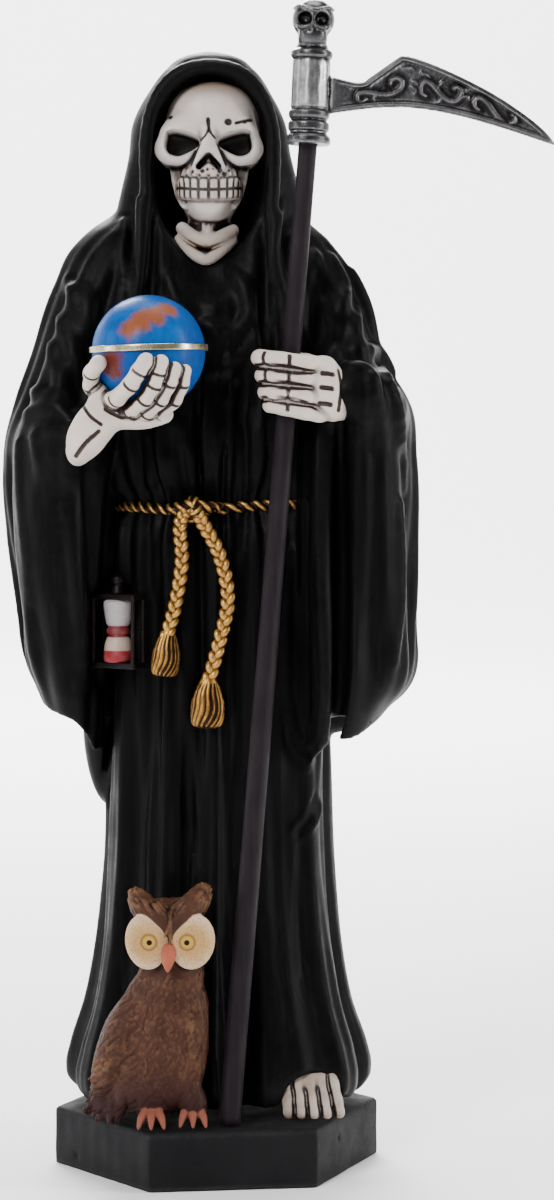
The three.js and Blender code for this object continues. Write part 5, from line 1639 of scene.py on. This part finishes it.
t, given, out = new_group("crest_paint_and_highlight", ["Color", "Mask"], Paint=GRAY, Highlight=GRAY, Strength=1.0, Scale=1.5)
scratch = noise(t, millimetres(t), given["Scale"], 5, 0.7)
caught = calc(t, "ADD", kept(t, "crest"), calc(t, "MULTIPLY", calc(t, "SUBTRACT", scratch, 0.5), 0.9))
mask = calc(t, "MULTIPLY", smooth_step(t, caught, 0.3, 0.85), given["Strength"], True)
t.links.new(mask, out["Mask"])
t.links.new(blend_colors(t, mask, given["Paint"], given["Highlight"]), out["Color"])
print("wash and dry brush ready")

# %% [markdown]
# Three quieter groups: a soft mottling that keeps any coat from being one flat colour, a fine grain that varies
# gloss and lifts a tiny bump, and streaks that run down the cloth or along the metal.

# %% Mottling, grain and streaks
t, given, out = new_group("soft_mottle", ["Color"], Paint=GRAY, Second=GRAY, Scale=0.1, Amount=1.0)
clouds = smooth_step(t, noise(t, millimetres(t), given["Scale"], 4), 0.35, 0.7)
mask = calc(t, "MULTIPLY", clouds, given["Amount"], True)
t.links.new(blend_colors(t, mask, given["Paint"], given["Second"]), out["Color"])

t, given, out = new_group("fine_grain", ["Roughness", "Height"], Scale=2.0, Glossiest=0.3, Dullest=0.5)
fine = noise(t, millimetres(t), given["Scale"], 4, 0.6)
broad = noise(t, millimetres(t), 0.12, 2)
spread = calc(t, "SUBTRACT", given["Dullest"], given["Glossiest"])
share = smooth_step(t, calc(t, "ADD", calc(t, "MULTIPLY", fine, 0.4), calc(t, "MULTIPLY", broad, 0.6)), 0.35, 0.65)
t.links.new(calc(t, "ADD", calc(t, "MULTIPLY", share, spread), given["Glossiest"]), out["Roughness"])
t.links.new(fine, out["Height"])

t, given, out = new_group("long_streaks", ["Mask", "Height"], Scale=0.7)
drawn = noise(t, millimetres(t, (1000, 1000, 55)), given["Scale"], 3, 0.5)
t.links.new(smooth_step(t, drawn, 0.45, 0.75), out["Mask"])
t.links.new(drawn, out["Height"])
print("mottling, grain and streaks ready")

# %% [markdown]
# Spots are for what is painted on by hand: eyes on the owl, patches of land colour on the globe. A spot is a centre
# and a radius, and noise can make its edge wander. Nicks are the small pale chips of a handled edge.

# %% Spots and nicks
t, given, out = new_group("round_spot", ["Mask"], Center=(0, 0, 0), Radius=1.0, Softness=0.1, Wander=0.0, Scale=0.4)
place = millimetres(t)
away = node(t, "ShaderNodeVectorMath", {0: place, 1: given["Center"]}, operation="DISTANCE").outputs["Value"]
wander = calc(t, "MULTIPLY", calc(t, "SUBTRACT", noise(t, place, given["Scale"], 4), 0.5), given["Wander"])
edge = calc(t, "SUBTRACT", calc(t, "ADD", away, wander), given["Radius"])
t.links.new(smooth_step(t, calc(t, "DIVIDE", edge, given["Softness"]), 1, -1), out["Mask"])

t, given, out = new_group("pale_nicks", ["Mask"], Scale=0.8, Amount=0.5)
speck = smooth_step(t, noise(t, millimetres(t), given["Scale"], 6, 0.75), 0.66, 0.72)
worn = smooth_step(t, kept(t, "crest"), 0.1, 0.6)
often = calc(t, "ADD", calc(t, "MULTIPLY", worn, given["Amount"]), 0.12)
t.links.new(calc(t, "MULTIPLY", speck, often, True), out["Mask"])
print("groups:", [g.name for g in bpy.data.node_groups])


# %% [markdown]
# Every material starts the same way: one Principled shader whose fixed values, such as metal and gloss level, sit on
# the shader itself, and a chain of groups for what changes over the surface.

# %% The painter
class Paint:
    """A material under the brush: each call adds one coat over the last colour."""

    def __init__(self, name, color, metal=0, specular=0.5):
        self.material = bpy.data.materials.new(name)
        self.material.use_nodes = True
        self.tree = self.material.node_tree
        self.shader = self.tree.nodes["Principled BSDF"].inputs
        self.shader["Metallic"].default_value = metal
        self.shader["Specular IOR Level"].default_value = specular
        self.color = (*color, 1)
        self.height = None

    def fill(self, group, **inputs):
        return node(self.tree, "ShaderNodeGroup", inputs, node_tree=bpy.data.node_groups[group]).outputs

    def mottle(self, second, scale=0.1, amount=1):
        self.color = self.fill("soft_mottle", Paint=self.color, Second=(*second, 1), Scale=scale, Amount=amount)[0]
        return self

    # The wash darkens the hollows: partly the figure's own wash, partly painted shade.
    def wash_and_shade(self, color, strength=1, scale=0.6):
        self.color = self.fill("hollow_paint_and_shade", Paint=self.color, Wash=(*color, 1), Strength=strength, Scale=scale)[0]
        return self

    # The dry brush lightens the crests: partly dry-brushed paint, partly painted highlight.
    def brush(self, color, strength=1, scale=1.5):
        self.color = self.fill("crest_paint_and_highlight", Paint=self.color, Highlight=(*color, 1), Strength=strength, Scale=scale)[0]
        return self

    def streaks(self, color, scale=0.7, amount=0.5, height=0):
        made = self.fill("long_streaks", Scale=scale)
        if height:
            self.height = calc(self.tree, "MULTIPLY", made["Height"], height)
        return self.over(calc(self.tree, "MULTIPLY", made["Mask"], amount), color)

    def over(self, mask, color):
        """Paint a colour where a mask is 1; the mask is a socket or the name under which vertices keep it."""
        mask = kept(self.tree, mask) if isinstance(mask, str) else mask
        self.color = blend_colors(self.tree, mask, self.color, (*color, 1))
        return self

    def spot(self, center, radius, softness=0.1, wander=0, scale=0.4):
        return self.fill("round_spot", Center=center, Radius=radius, Softness=softness, Wander=wander, Scale=scale)[0]

    def nicks(self, color, scale=0.8, amount=0.5):
        return self.over(self.fill("pale_nicks", Scale=scale, Amount=amount)[0], color)

    def finish(self, glossiest, dullest, grain=2, bump=0.1):
        made = self.fill("fine_grain", Scale=grain, Glossiest=glossiest, Dullest=dullest)
        height = made["Height"] if self.height is None else calc(self.tree, "ADD", made["Height"], self.height)
        lift = node(self.tree, "ShaderNodeBump", {"Height": height, "Strength": bump, "Distance": 0.0002})
        self.tree.links.new(made["Roughness"], self.shader["Roughness"])
        self.tree.links.new(lift.outputs["Normal"], self.shader["Normal"])
        self.tree.links.new(self.color, self.shader["Base Color"])
        return self.material


# %% [markdown]
# ### The robe's black
# The folds of the black robe show by their shine alone, so the base stays very dark, and only the gloss and faint
# streaks down the cloth change, with a faint grey painted highlight along the crests of the folds.

# %% Robe, bone and gilt
robe_black = (
    Paint("robe_black", (0.0008, 0.0008, 0.001), specular=0.055).mottle((0.0016, 0.0015, 0.0017), 0.07, 0.8)
    # The dry brush here is a faint grey painted highlight on the fold crests, standing for the satin's sheen.
    .streaks((0.0065, 0.006, 0.0067), 0.8, 0.45, 0.9).brush((0.007, 0.0068, 0.0075), 0.35, 0.8)
    .finish(0.4, 0.54, 1.6, 0.22))
aged_bone = (
    Paint("aged_bone", (0.5, 0.455, 0.43), specular=0.25).mottle((0.5, 0.425, 0.4), 0.11, 0.75)
    .mottle((0.47, 0.38, 0.33), 0.6, 0.4).wash_and_shade((0.03, 0.013, 0.008), 1.1, 0.5).brush((0.62, 0.6, 0.585), 0.35, 0.9)
    # The stain mask brings brown stain with painted shade and shadow; the dark mask brings black paint and painted
    # shade.
    .over("stain", (0.16, 0.09, 0.035)).over("dark", (0.0035, 0.0022, 0.0018)).finish(0.38, 0.56, 2.4, 0.1))
warm_bone = (
    Paint("warm_bone", (0.58, 0.505, 0.445), specular=0.25).mottle((0.52, 0.42, 0.37), 0.13, 0.8)
    .wash_and_shade((0.02, 0.008, 0.005), 1.8, 0.6).brush((0.72, 0.68, 0.63), 0.35, 0.9).finish(0.36, 0.55, 2.4, 0.1))
# The foot's bone is a darker copy of the hands' with a heavier wash: painted shade, for the foot stands under the
# robe's hem.
foot_bone_in_shade = (
    Paint("foot_bone_in_shade", (0.4, 0.33, 0.28), specular=0.25).mottle((0.24, 0.17, 0.13), 0.16, 0.9)
    .wash_and_shade((0.014, 0.006, 0.004), 2.6, 0.5).brush((0.6, 0.55, 0.49), 0.4, 0.9).finish(0.38, 0.55, 2.4, 0.12))
# The cord's wash is painted shade in the grooves and on the far side of the plaited strands; its dry brush paints
# highlights on the outer and front-facing parts of the strands.
gilt_cord = (
    Paint("gilt_cord", (0.36, 0.185, 0.03), metal=0.8).mottle((0.16, 0.062, 0.012), 0.5, 0.95)
    .wash_and_shade((0.016, 0.005, 0.002), 3, 0.95).brush((0.8, 0.5, 0.18), 0.27, 1.8).finish(0.32, 0.5, 3, 0.2))
print("black, three bones and gilt mixed")

# %% [markdown]
# ### Metal
# The head of the scythe is antiqued: dark in every hollow, bright only where a cloth has rubbed it. The staff is a
# dull dark paint with faint scratches along its length.

# %% Silver, staff and ring
antique_silver = (
    Paint("antique_silver", (0.125, 0.12, 0.125), metal=0.85).mottle((0.05, 0.05, 0.052), 0.3, 0.8)
    .over("barrel", (0.72, 0.7, 0.71)).wash_and_shade((0.004, 0.0038, 0.004), 1.6, 0.9).brush((0.46, 0.46, 0.48), 0.5, 1.4)
    .streaks((0.06, 0.06, 0.063), 1.4, 0.4).over("pommel", (0.05, 0.048, 0.05)).over("ground", (0.018, 0.016, 0.017))
    .finish(0.24, 0.42, 2.6, 0.12))
staff_paint = (
    Paint("staff_paint", (0.0075, 0.0054, 0.0075), specular=0.09).mottle((0.0115, 0.0083, 0.0102), 0.09, 0.9)
    .streaks((0.02, 0.016, 0.018), 1.2, 0.4, 0.6).nicks((0.07, 0.06, 0.06), 1.1, 0.3).finish(0.46, 0.62, 2.2, 0.15))
pale_ring = (
    Paint("pale_ring", (0.6, 0.54, 0.38), metal=0.9).mottle((0.33, 0.28, 0.18), 0.4, 0.9)
    .brush((0.8, 0.77, 0.66), 0.5, 1).finish(0.16, 0.34, 2.5, 0.1))
print("silver, staff and ring mixed")

# %% [markdown]
# ### Globe, hourglass and plinth
# The globe is blue with brown patches of no real land. The hourglass is painted in bands, so its colour follows
# height: white sand above, a red collar, cream and red below.

# %% Globe, hourglass and plinth
def in_frame(point):
    """A point of the figure's own space in the frame's, still in millimetres."""
    return tuple(Matrix.Rotation(FIGURE_TURN, 3, "Z") @ Vector(point))


globe_blue = Paint("globe_blue", (0.0006, 0.048, 0.22), specular=0.07).mottle((0.002, 0.085, 0.3), 0.09, 0.8)
for *off, radius, wander in (
        (-4.3, -12.3, 5.4, 2.4, 4), (-1.5, -12.2, 6.9, 2.9, 4.5), (1.8, -11, 8.6, 3, 4.5), (5, -8.4, 10.1, 2.6, 4),
        (-9.3, -10.2, -3.6, 4, 6), (9, 8, 5, 6.5, 8), (-4, 12.5, -3, 6, 8)):
    land = globe_blue.spot(in_frame(GLOBE + off), radius, 1.3, wander, 0.28)
    # Patches below the globe's middle take a darker brown: painted shade on its lower side.
    globe_blue.over(land, (0.2, 0.06, 0.025) if off[2] > 0 else (0.1, 0.022, 0.016))
globe_blue = globe_blue.streaks((0.01, 0.03, 0.075), 1, 0.35, 0.7).finish(0.26, 0.4, 2, 0.06)

bulb_bands = Paint("bulb_bands", (0.2, 0.005, 0.013), specular=0.3)
t = bulb_bands.tree
tall = node(t, "ShaderNodeSeparateXYZ", {0: millimetres(t)}).outputs["Z"]
for low, high, color in ((-4.9, 0.2, (0.38, 0.285, 0.23)), (-1.5, 1.4, (0.13, 0.004, 0.01)),
                         (1.4, 9, (0.32, 0.295, 0.3))):
    low, high = float(HOURGLASS[2] + low), float(HOURGLASS[2] + high)
    above, below = smooth_step(t, tall, low - 0.15, low + 0.15), smooth_step(t, tall, high + 0.15, high - 0.15)
    bulb_bands.over(calc(t, "MULTIPLY", above, below), color)
bulb_bands = bulb_bands.mottle((0.24, 0.16, 0.15), 0.5, 0.25).finish(0.35, 0.5, 2.5, 0.1)

hourglass_paint = (
    Paint("hourglass_paint", (0.0022, 0.0016, 0.0018), specular=0.13).mottle((0.006, 0.0022, 0.0026), 0.25, 0.9)
    .wash_and_shade((0.001, 0.001, 0.001), 0.8).brush((0.016, 0.006, 0.007), 0.5).finish(0.4, 0.55, 2.5, 0.12))
plinth_paint = (
    Paint("plinth_paint", (0.0054, 0.0052, 0.006), specular=0.1).mottle((0.0092, 0.0088, 0.0098), 0.06, 0.9)
    .brush((0.024, 0.023, 0.025), 0.5, 0.7).nicks((0.16, 0.155, 0.15), 0.55, 0.9).finish(0.55, 0.75, 1.8, 0.25))
print("globe, hourglass and plinth painted")

# %% [markdown]
# ### The owl
# Nearly black in the grooves and ochre on the ridges. The discs are cream with a tan stipple, and each eye is three
# spots on one centre: a dark rim, a yellow iris and a black pupil.

# %% Owl paint
owl_paint = (
    Paint("owl_paint", (0.034, 0.0125, 0.0072), specular=0.12).mottle((0.058, 0.023, 0.0135), 0.12, 0.9)
    .wash_and_shade((0.005, 0.002, 0.0015), 1.1, 0.8).brush((0.17, 0.085, 0.04), 0.5, 0.9)
    .over("belly", (0.022, 0.007, 0.006)).over("disc", (0.62, 0.46, 0.33)))
t = owl_paint.tree
disc_mask = kept(t, "disc")
for side in (-1, 1):
    tan = owl_paint.spot(in_frame((DISCS[side][0] + DISCS[side][1]) / 2), 5.6, 2.6, 1.2, 0.5)
    owl_paint.over(calc(t, "MULTIPLY", calc(t, "MULTIPLY", tan, disc_mask), 0.95), (0.38, 0.22, 0.075))
stipple = smooth_step(t, noise(t, millimetres(t), 2.6, 3, 0.7), 0.5, 0.66)
owl_paint.over(calc(t, "MULTIPLY", stipple, calc(t, "MULTIPLY", disc_mask, 0.75)), (0.22, 0.12, 0.05))
for side, pupil in OWL_PUPILS.items():
    eye = in_frame(OWL_EYES[side])
    owl_paint.over(owl_paint.spot(eye, 2.15, 0.3, 0.6, 1.5), (0.17, 0.09, 0.03))
    owl_paint.over(owl_paint.spot(eye, 1.6, 0.3, 0.4, 1.5), (0.42, 0.24, 0.045))
    owl_paint.over(owl_paint.spot(in_frame(pupil), 0.72, 0.1), (0.006, 0.004, 0.004))
owl_paint = owl_paint.over("beak", (0.3, 0.08, 0.045)).over("toes", (0.19, 0.06, 0.038)).finish(0.45, 0.7, 2.6, 0.2)
print("owl paint mixed")

# %% Put the paint on
COATS = {
    "robe": robe_black, "skull": aged_bone, "globe_hand": warm_bone, "fist": warm_bone, "foot": foot_bone_in_shade,
    "scythe_staff_rod": staff_paint, "scythe_blade_and_socket": antique_silver, "owl_casting": owl_paint,
    "globe_ball": globe_blue, "globe_ring": pale_ring, "hourglass_frame": hourglass_paint,
    "hourglass_bulbs": bulb_bands, "plinth_slab": plinth_paint,
}
for piece, _, _ in PIECES:
    piece.data.materials.append(COATS.get(piece.name, gilt_cord))
print(len(PIECES), "pieces painted with", len(bpy.data.materials), "materials")

# %% [markdown]
# ## Studio
# The product photo is a cut-out on white with soft light: one broad light from the upper left, a weaker one from the
# right that draws the edges of the folds, and darkness behind the camera, which keeps the black robe black. The
# paper is a shallow bowl, so that no horizon shows. It is white behind the figure and grey behind the camera.

# %% Lights
for name, place, aim, size, power in (
        ("key", (-0.6, -0.85, 0.8), (0, 0, 0.17), (0.34, 0.6), 15.5),
        ("right_strip", (0.85, -0.3, 0.42), (0, 0, 0.16), (0.16, 0.8), 8.5),
        ("left_strip", (-0.85, -0.05, 0.3), (0, 0, 0.16), (0.14, 0.8), 3.5),
        ("top", (0.05, 0.1, 1), (0, 0, 0.2), (0.5, 0.4), 6),
        ("floor_wash", (0, 1.3, 1.2), (0, 0.3, 0), (0.9, 0.5), 56),
        ("backdrop_wash", (0, 1.5, 2.4), (0, 4.2, 0.55), (2.4, 0.6), 470)):
    light = bpy.data.lights.new(name, "AREA")
    light.shape = "RECTANGLE"
    light.size, light.size_y = size
    light.energy = power
    holder = bpy.data.objects.new(name, light)
    bpy.context.scene.collection.objects.link(holder)
    holder.location = place
    holder.rotation_euler = (Vector(aim) - Vector(place)).to_track_quat("-Z", "Y").to_euler()
    print(name, "at", place, "with", power, "watts")
world = bpy.data.worlds.new("studio")
bpy.context.scene.world = world
world.use_nodes = True
sky = world.node_tree.nodes["Background"].inputs
sky["Color"].default_value = (1, 1, 1, 1)
sky["Strength"].default_value = 0.14

# %% The paper bowl
bowl_profile = smooth_path([(0.01, 0), (0.6, 0), (1.6, 0), (2.6, 0), (3.3, 0.06), (3.8, 0.25), (4.2, 0.6), (4.45, 1.1),
                            (4.5, 1.7), (4.5, 2.6)], 60)
bowl_faces = ring_faces(60, 96)[:, [0, 3, 2, 1]]
paper_bowl = mesh_object("paper_bowl", lathe(bowl_profile, 96), bowl_faces, Matrix.Identity(4))
paper = Paint("paper", (0.88, 0.88, 0.88))
t = paper.tree
depth = node(t, "ShaderNodeSeparateXYZ", {0: t.nodes.new("ShaderNodeTexCoord").outputs["Object"]}).outputs["Y"]
lit = smooth_step(t, depth, -2.6, -0.5)
t.links.new(blend_colors(t, lit, (0.3, 0.3, 0.3, 1), paper.color), paper.shader["Base Color"])
paper.shader["Roughness"].default_value = 0.9
paper_bowl.data.materials.append(paper.material)
print("paper bowl of", len(paper_bowl.data.vertices), "vertices")

# %% [markdown]
# ## Hand over
# Nothing moves, so every piece rides on the one body. The parts of the frame that the pieces stand for are hidden,
# and each piece's triangles are counted.

# %% Ride, replace and measure
for piece, nodes, slot in PIECES:
    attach(piece, "root")
    if nodes:
        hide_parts(*nodes)
    print(f"{piece.name}: {sum(len(face.vertices) - 2 for face in piece.data.polygons)} triangles")
